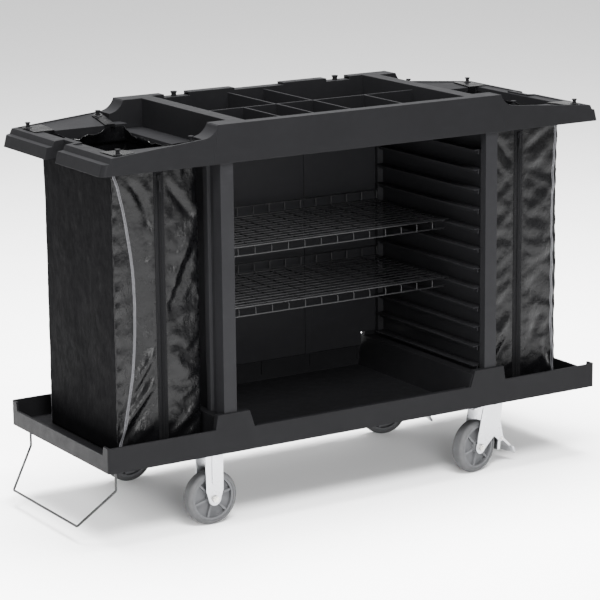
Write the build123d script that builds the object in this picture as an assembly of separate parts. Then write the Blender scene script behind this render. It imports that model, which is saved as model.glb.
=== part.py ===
from build123d import *
import math
import os

# Housekeeping cart. Millimetres, +Z up, the cart's long side along X and its open,
# front side towards -Y. The frame is on the floor under the middle of the bounding
# box: the wire holder at the left end sticks out past the base, so the cart's own
# middle is FRAME_SHIFT to the right of the origin.

# Base deck
BASE_LENGTH = 1524.0
BASE_WIDTH = 559.0
SKIRT_BOTTOM = 196.0
FLOOR_UNDER = 204.0
FLOOR_TOP = 208.0
RIM_TOP = 262.0
RIM_MID_TOP = 256.0
RIM_END_TOP = 239.0
RIM_WALL = 6.0
CORNER_RADIUS = 10.0
END_DIP_HALF = 245.0
PLINTH_TOP = 300.0
PLINTH_BODY_TOP = 289.0
SADDLE_DEPTH = 17.0
SADDLE_TOP_END = 448.0
SADDLE_END = 455.0
PLINTH_INNER = 354.0
PLINTH_OUTER = 440.0
PAD_BOTTOM = 200.0
SLIT_PITCH = 160.0

# Cabinet
POST_INNER = 389.0
POST_OUTER = 426.0
PANEL_INNER = 404.0
PANEL_OUTER = 416.0
PANEL_HALF_WIDTH = 273.5
PANEL_TOP = 949.5
RUNNER_COUNT = 12
RUNNER_TOP = 897.0
RUNNER_PITCH = 54.0
RUNNER_REACH = 375.0
RUNNER_THICK = 3.0
RUNNER_FRONT = -240.0
RUNNER_BACK = 248.0
BACK_FACE = 262.0
BACK_THICK = 4.0
BACK_JOINT = 161.0

# Wire shelves
SHELF_HALF_LENGTH = 386.0
SHELF_FRONT = -108.0
SHELF_BACK = 246.0
SHELF_FRAME_WIRE = 5.0
SHELF_WIRE = 3.0
SHELF_FENCE = 33.0
SHELF_BAYS = 15
UPPER_SHELF_RUNNER = 4
LOWER_SHELF_RUNNER = 7

# Organiser top
TOP_BOTTOM = 946.0
TOP_FLOOR_UNDER = 950.0
TOP_FLOOR = 955.0
TRAY_TOP = 1045.0
TRAY_FOOT_HALF = 449.0
TRAY_HEAD_HALF = 433.0
TRAY_INNER_HALF = 337.0
TRAY_END_WALL = 378.0
TRAY_SIDE_WALL = 32.0
TRAY_ARM_INNER = 223.0
TRAY_LEDGE = 968.0
TRAY_SKIN = 5.0
DIVIDER = 5.0
DIVIDER_DROP = 12.0
FRONT_DIVIDERS = (-196.0, -94.0, 19.0, 181.0)
BACK_DIVIDERS = (-98.0, 16.0)
BACK_NOTCHES = (-257.0, 257.0)
BACK_DIP = 9.0
MIDDLE_DIP = 6.0

# Wings with the bag mouths
WING_TIP = 762.0
WING_TIP_INSET = 10.0
WING_ROOT_TOP = 1013.0
WING_ROOT = 470.0
WING_FALL = 25.0 / 292.0
WING_WALL = 5.0
TROUGH_FLOOR = 989.0
TROUGH_RIM_STEP = 3.0
TROUGH_END = 720.0
SIDE_RIM = 7.0
TIP_LEDGE_DROP = 13.0
MOUTH_OUTER = 688.0
MOUTH_HALF_WIDTH = 186.0
NOTCH_HALF_WIDTH = 30.0
NOTCH_DEPTH = 55.0
PEG_PLACES = (495.0, 700.0)
PEG_Y = 250.0
PEG_RADIUS = 5.0
PEG_GAP = 0.05
PEG_HEAD_RADIUS = 7.0
PEG_HEIGHT = 14.0
PEG_FOOT = 8.0

# Bags
BAG_INNER = 446.0
BAG_OUTER = 690.0
BAG_HALF_WIDTH = 190.0
BAG_TOP = 943.0
BAG_WALL = 2.5
NECK_GAP = 2.5
NECK_INNER = 452.0
NECK_TOP = 984.0
TAB_HALF_WIDTH = 15.0
TAB_REACH = 265.0
TAB_LIFT = 1.4
EYELET_HOLE = 7.5
EYELET_RADIUS = 11.0
ZIP_X = 557.0
ZIP_HALF_WIDTH = 14.0
ZIP_BOTTOM = 226.0
ZIP_TOP = 930.0

# Wire holder
HOLDER_WIRE = 3.2
HOLDER_X = -726.0
HOLDER_PIVOT_Z = 197.0
HOLDER_LEG_Y = 243.0
HOLDER_KNEE_Z = 139.0
HOLDER_BAR_X = -808.8
HOLDER_BAR_Y = 184.0
HOLDER_BAR_Z = 44.0
HOLDER_PIN_END = 262.0
FRAME_SHIFT = (-HOLDER_BAR_X + HOLDER_WIRE - BASE_LENGTH / 2) / 2

# Casters
WHEEL_RADIUS = 72.0
WHEEL_WIDTH = 38.0
HUB_RADIUS = 60.0
AXLE_RADIUS = 5.0
AXLE_GAP = 0.05
FORK_HALF_GAP = 24.0
FORK_THICK = 3.0
PLATE_THICK = 4.0
PLATE_BOTTOM = PAD_BOTTOM - PLATE_THICK
PLATE_LENGTH = 108.0
PLATE_WIDTH = 86.0
BOLT_SPAN_X = 84.0
BOLT_SPAN_Y = 60.0
BOLT_RADIUS = 4.0
RIGID_X = -446.0
RIGID_Y = 226.0
SWIVEL_X = 441.0
SWIVEL_Y = 214.0
SWIVEL_YAW = 13.0
TRAIL = 55.0
PEDAL_PIN_X = 31.0
PEDAL_PIN_Z = 80.0
PEDAL_PIN_RADIUS = 3.0
PEDAL_HALF_WIDTH = 20.0

HALF_LENGTH = BASE_LENGTH / 2
HALF_WIDTH = BASE_WIDTH / 2


def slab(x0, x1, y0, y1, z0, z1):
    """A box from its six limits."""
    return Pos((x0 + x1) / 2, (y0 + y1) / 2, (z0 + z1) / 2) * Box(x1 - x0, y1 - y0, z1 - z0)


def rounded_slab(half_x, half_y, z0, z1, radius):
    """A centred box with rounded upright corners."""
    return Pos(0, 0, z0) * extrude(RectangleRounded(2 * half_x, 2 * half_y, radius), z1 - z0)


def prism_y(outline, y0, y1):
    """An outline of (x, z) corners drawn out along Y."""
    corners = [Vector(x, y0, z) for x, z in outline]
    return extrude(Face(Wire.make_polygon(corners)), amount=y1 - y0, dir=(0, 1, 0))


def prism_x(outline, x0, x1):
    """An outline of (y, z) corners drawn out along X."""
    corners = [Vector(x0, y, z) for y, z in outline]
    return extrude(Face(Wire.make_polygon(corners)), amount=x1 - x0, dir=(1, 0, 0))


def prism_z(outline, z0, z1):
    """An outline of (x, y) corners drawn up along Z."""
    corners = [Vector(x, y, z0) for x, y in outline]
    return extrude(Face(Wire.make_polygon(corners)), amount=z1 - z0, dir=(0, 0, 1))


def rod_y(x, z, radius, y0, y1):
    """A round bar along Y."""
    return Pos(x, (y0 + y1) / 2, z) * Rot(90, 0, 0) * Cylinder(radius, y1 - y0)


def rod_z(x, y, radius, z0, z1):
    """A round bar along Z."""
    return Pos(x, y, (z0 + z1) / 2) * Cylinder(radius, z1 - z0)


def hexagon_y(x, z, radius, y0, y1):
    """A hexagonal nut or bolt head along Y."""
    corners = [(x + radius * math.cos(math.radians(60 * i)), z + radius * math.sin(math.radians(60 * i)))
               for i in range(6)]
    return prism_y(corners, y0, y1)


def hexagon_z(x, y, radius, z0, z1):
    """A hexagonal bolt head along Z."""
    return Pos(x, y, z0) * extrude(RegularPolygon(radius, 6), z1 - z0)


def mirrored_x(shape):
    """The same piece at the other end of the cart."""
    return mirror(shape, about=Plane.YZ)


def mirrored_y(shape):
    """The same piece on the other side of the cart."""
    return mirror(shape, about=Plane.XZ)


def caster_places():
    """Name, X, Y and yaw of the four casters."""
    return [
        ("front_left", RIGID_X, -RIGID_Y, 0.0),
        ("rear_left", RIGID_X, RIGID_Y, 0.0),
        ("front_right", SWIVEL_X, -SWIVEL_Y, SWIVEL_YAW),
        ("rear_right", SWIVEL_X, SWIVEL_Y, -SWIVEL_YAW),
    ]


# ---------------------------------------------------------------- base deck

def plinth(side):
    """The raised foot that a side panel stands on, with its saddles in both rims."""
    body = prism_y([(side * (PLINTH_INNER - 32), FLOOR_UNDER), (side * (PLINTH_INNER - 5), PLINTH_BODY_TOP),
                    (side * PLINTH_OUTER, PLINTH_BODY_TOP), (side * PLINTH_OUTER, FLOOR_UNDER)],
                   -HALF_WIDTH + RIM_WALL, HALF_WIDTH - RIM_WALL)
    saddle_outline = [(side * (PLINTH_INNER - 14), RIM_MID_TOP), (side * PLINTH_INNER, PLINTH_TOP),
                      (side * SADDLE_TOP_END, PLINTH_TOP), (side * SADDLE_END, RIM_TOP - 2),
                      (side * SADDLE_END, FLOOR_UNDER), (side * (PLINTH_INNER - 14), FLOOR_UNDER)]
    front = prism_y(saddle_outline, -HALF_WIDTH, -HALF_WIDTH + SADDLE_DEPTH)
    back = prism_y(saddle_outline, HALF_WIDTH - SADDLE_DEPTH, HALF_WIDTH)
    return body + front + back


def plinth_hollow(side):
    """The empty space under a plinth's skin."""
    skin = 5
    return prism_y([(side * (PLINTH_INNER - 24), SKIRT_BOTTOM - 1), (side * PLINTH_INNER, PLINTH_BODY_TOP - skin),
                    (side * (PLINTH_OUTER - skin), PLINTH_BODY_TOP - skin),
                    (side * (PLINTH_OUTER - skin), SKIRT_BOTTOM - 1)],
                   -HALF_WIDTH + SADDLE_DEPTH + skin, HALF_WIDTH - SADDLE_DEPTH - skin)


def caster_bolt_places():
    """Centres of one caster plate's four bolts, about the plate's centre."""
    return [(sx * BOLT_SPAN_X / 2, sy * BOLT_SPAN_Y / 2) for sx in (-1, 1) for sy in (-1, 1)]


def base_deck():
    """The moulded deck: a shallow tray with a rim, two plinths and four caster pads."""
    deck = rounded_slab(HALF_LENGTH, HALF_WIDTH, SKIRT_BOTTOM, RIM_TOP, CORNER_RADIUS)
    inner_x = HALF_LENGTH - RIM_WALL
    inner_y = HALF_WIDTH - RIM_WALL
    inner_radius = CORNER_RADIUS - RIM_WALL
    deck -= rounded_slab(inner_x, inner_y, FLOOR_TOP, RIM_TOP + 1, inner_radius)
    deck -= rounded_slab(inner_x, inner_y, SKIRT_BOTTOM - 1, FLOOR_UNDER, inner_radius)

    dip = [(-END_DIP_HALF - 5, RIM_TOP + 1), (-END_DIP_HALF, RIM_END_TOP),
           (END_DIP_HALF, RIM_END_TOP), (END_DIP_HALF + 5, RIM_TOP + 1)]
    deck -= prism_x(dip, -HALF_LENGTH - 1, -HALF_LENGTH + RIM_WALL + 6)
    deck -= prism_x(dip, HALF_LENGTH - RIM_WALL - 6, HALF_LENGTH + 1)
    deck -= slab(-PLINTH_INNER, PLINTH_INNER, -HALF_WIDTH - 1, -HALF_WIDTH + RIM_WALL + 1,
                 RIM_MID_TOP, RIM_TOP + 1)

    for side in (-1, 1):
        deck += plinth(side)
    for side in (-1, 1):
        deck -= plinth_hollow(side)

    apron_reach = PLINTH_INNER - 25
    deck += prism_x([(-inner_y - 1, FLOOR_TOP - 1), (-inner_y - 1, RIM_MID_TOP), (-inner_y + 7, RIM_MID_TOP),
                     (-inner_y + 24, FLOOR_TOP - 1)], -apron_reach, apron_reach)
    ledge = slab(-apron_reach, apron_reach, BACK_FACE - 6, inner_y + 1, FLOOR_TOP - 1, RIM_TOP)
    for place in range(-2, 3):
        middle = place * SLIT_PITCH
        ledge -= slab(middle - 2, middle + 2, BACK_FACE - 7, BACK_FACE - 2, FLOOR_TOP + 14, RIM_TOP + 1)
    deck += ledge

    for name, x, y, yaw in caster_places():
        deck += slab(x - PLATE_LENGTH / 2 - 4, x + PLATE_LENGTH / 2 + 4, y - PLATE_WIDTH / 2 - 2,
                     y + PLATE_WIDTH / 2 + 2, PAD_BOTTOM, FLOOR_TOP)
        for bolt_x, bolt_y in caster_bolt_places():
            deck -= rod_z(x + bolt_x, y + bolt_y, BOLT_RADIUS + AXLE_GAP, PAD_BOTTOM - 1, FLOOR_TOP - 1)
    return deck


# ---------------------------------------------------------------- cabinet

def side_panel():
    """The right side panel: two corner posts joined by a thinner ribbed web."""
    edge = PANEL_HALF_WIDTH
    half = [(POST_INNER, edge), (POST_OUTER, edge), (POST_OUTER, edge - 37), (PANEL_OUTER, edge - 41),
            (PANEL_OUTER, edge - 70), (PANEL_OUTER + 7, edge - 74), (PANEL_OUTER + 7, edge - 94),
            (PANEL_OUTER, edge - 98)]
    inner = [(PANEL_INNER, edge - 33), (PANEL_INNER, edge - 29), (POST_INNER, edge - 24)]
    front = [(x, -y) for x, y in reversed(half)]
    inner_front = [(x, -y) for x, y in reversed(inner)]
    outline = half + front + inner_front + inner
    panel = prism_z(outline, PLINTH_BODY_TOP, PANEL_TOP)
    foot = slab(POST_INNER - 1, POST_OUTER + 1, HALF_WIDTH - SADDLE_DEPTH, edge + 1,
                PLINTH_BODY_TOP - 1, PLINTH_TOP)
    return panel - foot - mirrored_y(foot)


def shelf_runners():
    """Twelve T-section rails on the right panel's inner face."""
    stem_x = (RUNNER_REACH + PANEL_INNER) / 2
    rails = []
    for step in range(RUNNER_COUNT):
        top = RUNNER_TOP - step * RUNNER_PITCH
        flange = slab(RUNNER_REACH, PANEL_INNER, RUNNER_FRONT, RUNNER_BACK - 9, top - RUNNER_THICK, top)
        stem = slab(stem_x - 1.5, stem_x + 1.5, RUNNER_FRONT, RUNNER_BACK - 9, top - 13, top - RUNNER_THICK)
        rails.append(flange + stem)
    return Compound(rails)


def back_panel(x0, x1):
    """One smooth panel of the cabinet's back."""
    return slab(x0, x1, BACK_FACE, BACK_FACE + BACK_THICK, RIM_TOP, PANEL_TOP)


def right_back_panel():
    """The back's right panel, with its lower corner cut to sit beside the plinth."""
    panel = back_panel(BACK_JOINT + 2.5, POST_INNER - 0.5)
    corner = PLINTH_INNER - 15
    return panel - slab(corner, POST_OUTER, BACK_FACE - 1, BACK_FACE + BACK_THICK + 1, RIM_TOP - 1, PLINTH_TOP)


def back_joint_strip(x):
    """The H-section strip that joins two back panels."""
    strip = slab(x - 12, x + 12, BACK_FACE - 3, BACK_FACE + BACK_THICK + 3, RIM_TOP, PANEL_TOP)
    strip -= slab(x - 13, x - 2, BACK_FACE, BACK_FACE + BACK_THICK, RIM_TOP - 1, PANEL_TOP + 1)
    strip -= slab(x + 2, x + 13, BACK_FACE, BACK_FACE + BACK_THICK, RIM_TOP - 1, PANEL_TOP + 1)
    return strip


def wire_shelf(rest):
    """A welded wire shelf with a fence at the back and a hanging front edge."""
    length = SHELF_HALF_LENGTH
    frame = SHELF_FRAME_WIRE
    thin = SHELF_WIRE
    under = rest
    over = rest + thin - 0.4
    bars = [
        slab(-length, length, SHELF_FRONT, SHELF_FRONT + frame, over, over + frame),
        slab(-length, length, SHELF_BACK - frame, SHELF_BACK, over, over + frame),
        slab(-length, length, SHELF_BACK - frame, SHELF_BACK - 1, over + SHELF_FENCE - 4, over + SHELF_FENCE),
        slab(-length + 14, length - 14, SHELF_FRONT, SHELF_FRONT + 4, rest - 20, rest - 16),
    ]
    rows = 13
    for row in range(1, rows):
        y = SHELF_FRONT + (SHELF_BACK - SHELF_FRONT) * row / rows
        bars.append(slab(-length, length, y - thin / 2, y + thin / 2, over, over + thin))
    for bay in range(SHELF_BAYS + 1):
        x = -length + thin + (2 * length - 2 * thin) * bay / SHELF_BAYS
        bars.append(slab(x - thin / 2, x + thin / 2, SHELF_FRONT + 1, SHELF_BACK - 1, under, under + thin))
        bars.append(slab(x - thin / 2, x + thin / 2, SHELF_BACK - 4, SHELF_BACK - 1, under, over + SHELF_FENCE - 1))
        if 0 < bay < SHELF_BAYS:
            bars.append(slab(x - thin / 2, x + thin / 2, SHELF_FRONT + 0.5, SHELF_FRONT + 3.5, rest - 19, rest + thin))
    return bars[0].fuse(*bars[1:])


# ---------------------------------------------------------------- organiser top

def compartments(dividers):
    """X limits of the compartments between one row's dividers."""
    lefts = [-TRAY_INNER_HALF] + [place + DIVIDER / 2 for place in dividers]
    rights = [place - DIVIDER / 2 for place in dividers] + [TRAY_INNER_HALF]
    return list(zip(lefts, rights))


def tray_hollow():
    """The empty space inside the organiser's double walls, open underneath."""
    inner_y = HALF_WIDTH - TRAY_SIDE_WALL
    skin = TRAY_SKIN
    arm_end = TRAY_HEAD_HALF - skin
    hollow = slab(-arm_end, arm_end, -HALF_WIDTH + skin, HALF_WIDTH - skin, TOP_BOTTOM - 1, TRAY_TOP - skin)
    hollow -= slab(-TRAY_INNER_HALF - skin, TRAY_INNER_HALF + skin, -inner_y - skin, inner_y + skin,
                   TOP_FLOOR_UNDER, TRAY_TOP)
    for side in (-1, 1):
        near, far = sorted((side * (TRAY_END_WALL - skin), side * TRAY_FOOT_HALF))
        hollow -= slab(near, far, -TRAY_ARM_INNER - skin, TRAY_ARM_INNER + skin, TRAY_LEDGE - skin, TRAY_TOP)
    return hollow


def back_dips():
    """Place, half length and depth of the three dips in the organiser's back rim."""
    return [(place, 39, BACK_DIP) for place in BACK_NOTCHES] + [(0, 78, MIDDLE_DIP)]


def centre_tray():
    """The organiser tray over the cabinet, with two rows of compartments."""
    tray = prism_y([(-TRAY_FOOT_HALF, TOP_BOTTOM), (TRAY_FOOT_HALF, TOP_BOTTOM),
                    (TRAY_HEAD_HALF, TRAY_TOP), (-TRAY_HEAD_HALF, TRAY_TOP)], -HALF_WIDTH, HALF_WIDTH)
    inner_y = HALF_WIDTH - TRAY_SIDE_WALL
    tray -= slab(-TRAY_INNER_HALF, TRAY_INNER_HALF, -inner_y, inner_y, TRAY_TOP - DIVIDER_DROP, TRAY_TOP + 1)
    for left, right in compartments(FRONT_DIVIDERS):
        tray -= slab(left, right, -inner_y, -DIVIDER / 2, TOP_FLOOR, TRAY_TOP + 1)
    for left, right in compartments(BACK_DIVIDERS):
        tray -= slab(left, right, DIVIDER / 2, inner_y, TOP_FLOOR, TRAY_TOP + 1)
    for side in (-1, 1):
        near, far = sorted((side * TRAY_END_WALL, side * (TRAY_FOOT_HALF + 5)))
        tray -= slab(near, far, -TRAY_ARM_INNER, TRAY_ARM_INNER, TRAY_LEDGE, TRAY_TOP + 1)
    tray = tray - tray_hollow()
    for place, half, depth in back_dips():
        tray -= slab(place - half, place + half, inner_y - 1, HALF_WIDTH + 1, TRAY_TOP - depth, TRAY_TOP + 1)
        tray += slab(place - half - 2, place + half + 2, inner_y, HALF_WIDTH - 1, TRAY_TOP - depth - TRAY_SKIN,
                     TRAY_TOP - depth)
    return tray


def tray_pegs():
    """Two broad pegs in the dips of the back rim."""
    pegs = []
    for place in BACK_NOTCHES:
        foot = rod_z(place, HALF_WIDTH - 14, 7, TRAY_TOP - BACK_DIP, TRAY_TOP)
        head = rod_z(place, HALF_WIDTH - 14, 9, TRAY_TOP, TRAY_TOP + 3.5)
        pegs.append(foot + head)
    return Compound(pegs)


def wing_surface(x):
    """Height of the wing's rim at a distance from the cart's middle."""
    return WING_ROOT_TOP - (x - WING_ROOT) * WING_FALL


def trough_height(x, y):
    """Height of the trough's floor, which falls from the side rims towards the mouth."""
    rim_y = HALF_WIDTH - SIDE_RIM
    share = (abs(y) - MOUTH_HALF_WIDTH) / (rim_y - MOUTH_HALF_WIDTH)
    return TROUGH_FLOOR + share * (wing_surface(x) - TROUGH_RIM_STEP - TROUGH_FLOOR)


def wing_body():
    """The right wing's outer form: a falling top, a slanted tip and a curved riser."""
    tip = WING_TIP - WING_TIP_INSET
    ledge = TROUGH_END + 19
    root_foot = (TRAY_FOOT_HALF + 0.3, 0, TOP_BOTTOM)
    root_head = (TRAY_HEAD_HALF + 0.3, 0, TRAY_TOP)
    riser_foot = (WING_ROOT + 4, 0, wing_surface(WING_ROOT + 4))
    ridge = (ledge - 7, 0, wing_surface(ledge - 7))
    ledge_start = (ledge, 0, wing_surface(ledge) - TIP_LEDGE_DROP)
    tip_head = (tip + 2, 0, wing_surface(tip) - TIP_LEDGE_DROP)
    tip_foot = (WING_TIP, 0, TOP_BOTTOM)
    outline = [
        Line(root_foot, root_head),
        ThreePointArc(root_head, (TRAY_HEAD_HALF + 12, 0, WING_ROOT_TOP + 13), riser_foot),
        Line(riser_foot, ridge),
        Line(ridge, ledge_start),
        Line(ledge_start, tip_head),
        Line(tip_head, tip_foot),
        Line(tip_foot, root_foot),
    ]
    body = extrude(Face(Wire(outline)), amount=BASE_WIDTH, dir=(0, 1, 0))
    return Pos(0, -HALF_WIDTH, 0) * body


def wing_hollow():
    """The empty space under the right wing's skin."""
    root = TRAY_FOOT_HALF + 6
    ceiling = TROUGH_FLOOR - WING_WALL - 1
    tip_ceiling = wing_surface(WING_TIP) - TIP_LEDGE_DROP - WING_WALL
    hollow = prism_y([(root, TOP_BOTTOM - 1), (root, ceiling), (TROUGH_END - 4, ceiling - 2),
                      (TROUGH_END + 8, tip_ceiling), (WING_TIP - 15, tip_ceiling), (WING_TIP - 7, TOP_BOTTOM - 1)],
                     -HALF_WIDTH + WING_WALL, HALF_WIDTH - WING_WALL)
    mouth_y = MOUTH_HALF_WIDTH + WING_WALL
    notch_y = NOTCH_HALF_WIDTH + WING_WALL
    hollow -= slab(root - 1, MOUTH_OUTER + WING_WALL, -mouth_y, mouth_y, TOP_BOTTOM - 2, TRAY_TOP)
    return hollow - slab(WING_TIP - NOTCH_DEPTH - WING_WALL, WING_TIP, -notch_y, notch_y, TOP_BOTTOM - 2, TRAY_TOP)


def trough_section(x):
    """The trough's cross-section at one place along the right wing."""
    rim_y = HALF_WIDTH - SIDE_RIM
    corners = [(-rim_y, TRAY_TOP), (-rim_y, trough_height(x, rim_y)), (-MOUTH_HALF_WIDTH, TROUGH_FLOOR),
               (MOUTH_HALF_WIDTH, TROUGH_FLOOR), (rim_y, trough_height(x, rim_y)), (rim_y, TRAY_TOP)]
    return Face(Wire.make_polygon([Vector(x, y, z) for y, z in corners]))


def wing_trough():
    """The dished trough round the bag mouth, inside the wing's rims."""
    trough = loft([trough_section(WING_ROOT + 6), trough_section(TROUGH_END)], ruled=True)
    return trough - slab(MOUTH_OUTER + 4, WING_TIP, -NOTCH_HALF_WIDTH - 14, NOTCH_HALF_WIDTH + 14,
                         TOP_BOTTOM, TRAY_TOP + 1)


def wing():
    """The right wing: a U-shaped shell round the bag mouth, with a trough and a notched tip."""
    piece = wing_body()
    tip_edges = piece.edges().filter_by(Axis.Y, reverse=True).group_by(Axis.X)[-1]
    corners = [edge for edge in tip_edges if abs(edge.center().Y) > HALF_WIDTH - 1]
    piece = fillet(corners, 14)
    piece -= wing_trough()
    piece -= slab(TRAY_HEAD_HALF, WING_ROOT + 7, -TRAY_ARM_INNER, TRAY_ARM_INNER, TROUGH_FLOOR, TRAY_TOP + 1)
    piece -= wing_hollow()
    piece -= slab(TRAY_HEAD_HALF, MOUTH_OUTER, -MOUTH_HALF_WIDTH, MOUTH_HALF_WIDTH, TOP_BOTTOM - 1, TRAY_TOP)
    piece -= slab(WING_TIP - NOTCH_DEPTH, WING_TIP + 1, -NOTCH_HALF_WIDTH, NOTCH_HALF_WIDTH,
                  TOP_BOTTOM - 1, TRAY_TOP)
    for x in PEG_PLACES:
        for y in (-PEG_Y, PEG_Y):
            piece -= rod_z(x, y, PEG_RADIUS + PEG_GAP, trough_height(x, y) - 30, TRAY_TOP)
    return piece


def bag_pegs():
    """Four mushroom pegs, screwed into the right wing, that hold the bag's eyelets."""
    pegs = []
    for x in PEG_PLACES:
        for y in (-PEG_Y, PEG_Y):
            low = trough_height(x, y)
            foot = rod_z(x, y, PEG_RADIUS, low - PEG_FOOT, low + PEG_HEIGHT)
            head = rod_z(x, y, PEG_HEAD_RADIUS, low + PEG_HEIGHT, low + PEG_HEIGHT + 3)
            pegs.append(foot + head)
    return Compound(pegs)


# ---------------------------------------------------------------- bags

def tab_section(x, y0, y1, low, high):
    """A strip's cross-section over the trough's floor at one place along the wing."""
    corners = [(y0, trough_height(x, y0) + low), (y1, trough_height(x, y1) + low),
               (y1, trough_height(x, y1) + high), (y0, trough_height(x, y0) + high)]
    return Face(Wire.make_polygon([Vector(x, y, z) for y, z in corners]))


def tab_layer(x0, x1, y0, y1, low, high):
    """A strip that lies along the trough's slope, between two heights above its floor."""
    return loft([tab_section(x0, y0, y1, low, high), tab_section(x1, y0, y1, low, high)], ruled=True)


def bag_tab(peg_x, side):
    """One tab, from the neck's edge over the trough to its peg."""
    neck_y = MOUTH_HALF_WIDTH - NECK_GAP
    middle = min(peg_x, MOUTH_OUTER - NECK_GAP - TAB_HALF_WIDTH)
    top = TAB_LIFT + BAG_WALL
    riser = prism_x(
        [(side * neck_y, NECK_TOP - 2), (side * (neck_y - BAG_WALL), NECK_TOP - 2),
         (side * (neck_y - BAG_WALL), TROUGH_FLOOR + top), (side * neck_y, TROUGH_FLOOR + top)],
        middle - TAB_HALF_WIDTH, middle + TAB_HALF_WIDTH)
    ends = (side * (neck_y - BAG_WALL), side * TAB_REACH)
    strap = tab_layer(middle - TAB_HALF_WIDTH, peg_x + TAB_HALF_WIDTH, ends[0], ends[1], TAB_LIFT, top)
    return riser + strap - rod_z(peg_x, side * PEG_Y, EYELET_HOLE, TOP_BOTTOM, TRAY_TOP)


def bag():
    """The right laundry bag: a tall hollow box whose neck is pulled up into the mouth."""
    wall = BAG_WALL
    neck_x = MOUTH_OUTER - NECK_GAP
    neck_y = MOUTH_HALF_WIDTH - NECK_GAP
    foot = FLOOR_TOP + 0.3
    piece = slab(BAG_INNER, BAG_OUTER, -BAG_HALF_WIDTH, BAG_HALF_WIDTH, foot, BAG_TOP)
    piece += slab(NECK_INNER, neck_x, -neck_y, neck_y, BAG_TOP - 1, NECK_TOP)
    piece -= slab(BAG_INNER + wall, BAG_OUTER - wall, -BAG_HALF_WIDTH + wall, BAG_HALF_WIDTH - wall,
                  foot + wall, BAG_TOP - wall)
    piece -= slab(NECK_INNER + wall, neck_x - wall, -neck_y + wall, neck_y - wall, BAG_TOP - 2 * wall, TRAY_TOP)
    for x in PEG_PLACES:
        for side in (-1, 1):
            piece += bag_tab(x, side)
    return piece


def bag_eyelets():
    """Four pressed rings round the pegs."""
    rings = []
    low = TAB_LIFT + BAG_WALL + 0.1
    reach = EYELET_RADIUS + 1
    for x in PEG_PLACES:
        for y in (-PEG_Y, PEG_Y):
            ring = tab_layer(x - reach, x + reach, y - reach, y + reach, low, low + 1.2)
            ring &= rod_z(x, y, EYELET_RADIUS, TOP_BOTTOM, TRAY_TOP)
            rings.append(ring - rod_z(x, y, EYELET_HOLE + 0.1, TOP_BOTTOM, TRAY_TOP))
    return Compound(rings)


def zip_tape():
    """The zipper down the front of the right bag."""
    face = -BAG_HALF_WIDTH - 0.1
    tape = slab(ZIP_X - ZIP_HALF_WIDTH, ZIP_X + ZIP_HALF_WIDTH, face - 0.9, face, ZIP_BOTTOM, ZIP_TOP)
    return tape + slab(ZIP_X - 3, ZIP_X + 3, face - 2.1, face - 0.8, ZIP_BOTTOM + 4, ZIP_TOP)


def zip_slider():
    """The zipper's slider and pull, near the top of its travel."""
    face = -BAG_HALF_WIDTH - 2.6
    body = slab(ZIP_X - 5, ZIP_X + 5, face - 3, face, ZIP_TOP - 24, ZIP_TOP - 10)
    bridge = slab(ZIP_X - 1.5, ZIP_X + 1.5, face - 6, face - 2.8, ZIP_TOP - 22, ZIP_TOP - 12)
    pull = slab(ZIP_X - 3.5, ZIP_X + 3.5, face - 6, face - 4.4, ZIP_TOP - 52, ZIP_TOP - 20)
    return body + bridge + pull


# ---------------------------------------------------------------- wire holder

def holder_wire():
    """The bent wire holder that folds out under the left end."""
    side = [(HOLDER_X, HOLDER_PIN_END, HOLDER_PIVOT_Z), (HOLDER_X, HOLDER_LEG_Y, HOLDER_PIVOT_Z),
            (HOLDER_X, HOLDER_LEG_Y, HOLDER_KNEE_Z), (HOLDER_BAR_X, HOLDER_BAR_Y, HOLDER_BAR_Z)]
    other = [(x, -y, z) for x, y, z in reversed(side)]
    route = FilletPolyline(*(side + other), radius=8)
    section = Plane(origin=side[0], z_dir=(0, -1, 0)) * Circle(HOLDER_WIRE)
    return sweep(section, path=route)


def holder_clips():
    """Two clips under the deck that hold the wire's turned-out ends."""
    clips = []
    for side in (-1, 1):
        y0, y1 = sorted((side * 251.5, side * 260.5))
        clip = slab(HOLDER_X - 9, HOLDER_X + 9, y0, y1, HOLDER_PIVOT_Z - 7, FLOOR_UNDER)
        clips.append(clip - rod_y(HOLDER_X, HOLDER_PIVOT_Z, HOLDER_WIRE + AXLE_GAP, y0 - 1, y1 + 1))
    return Compound(clips)


# ---------------------------------------------------------------- casters
# Each caster is drawn with its plate's centre over the frame's axis and its wheel's
# centre at wheel_x, then moved to its place.

def wheel_hub(wheel_x):
    """The moulded wheel centre: a rim, a web, a bearing boss and six ribs."""
    half = WHEEL_WIDTH / 2
    hub = rod_y(wheel_x, WHEEL_RADIUS, HUB_RADIUS, -half + 2, half - 2)
    for side in (-1, 1):
        y0, y1 = sorted((side * 5.0, side * half))
        pocket = rod_y(wheel_x, WHEEL_RADIUS, HUB_RADIUS - 6, y0, y1)
        pocket -= rod_y(wheel_x, WHEEL_RADIUS, 17, y0, y1)
        rib_y = sorted((side * 5.0, side * (half - 5)))
        rib = slab(-2.5, 2.5, rib_y[0], rib_y[1], 0, HUB_RADIUS)
        for spoke in range(6):
            pocket -= Pos(wheel_x, 0, WHEEL_RADIUS) * Rot(0, 60 * spoke + 15, 0) * rib
        hub -= pocket
    hub += rod_y(wheel_x, WHEEL_RADIUS, 13, -FORK_HALF_GAP + 1, FORK_HALF_GAP - 1)
    hub -= rod_y(wheel_x, WHEEL_RADIUS, AXLE_RADIUS + AXLE_GAP, -FORK_HALF_GAP, FORK_HALF_GAP)
    return hub


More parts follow.
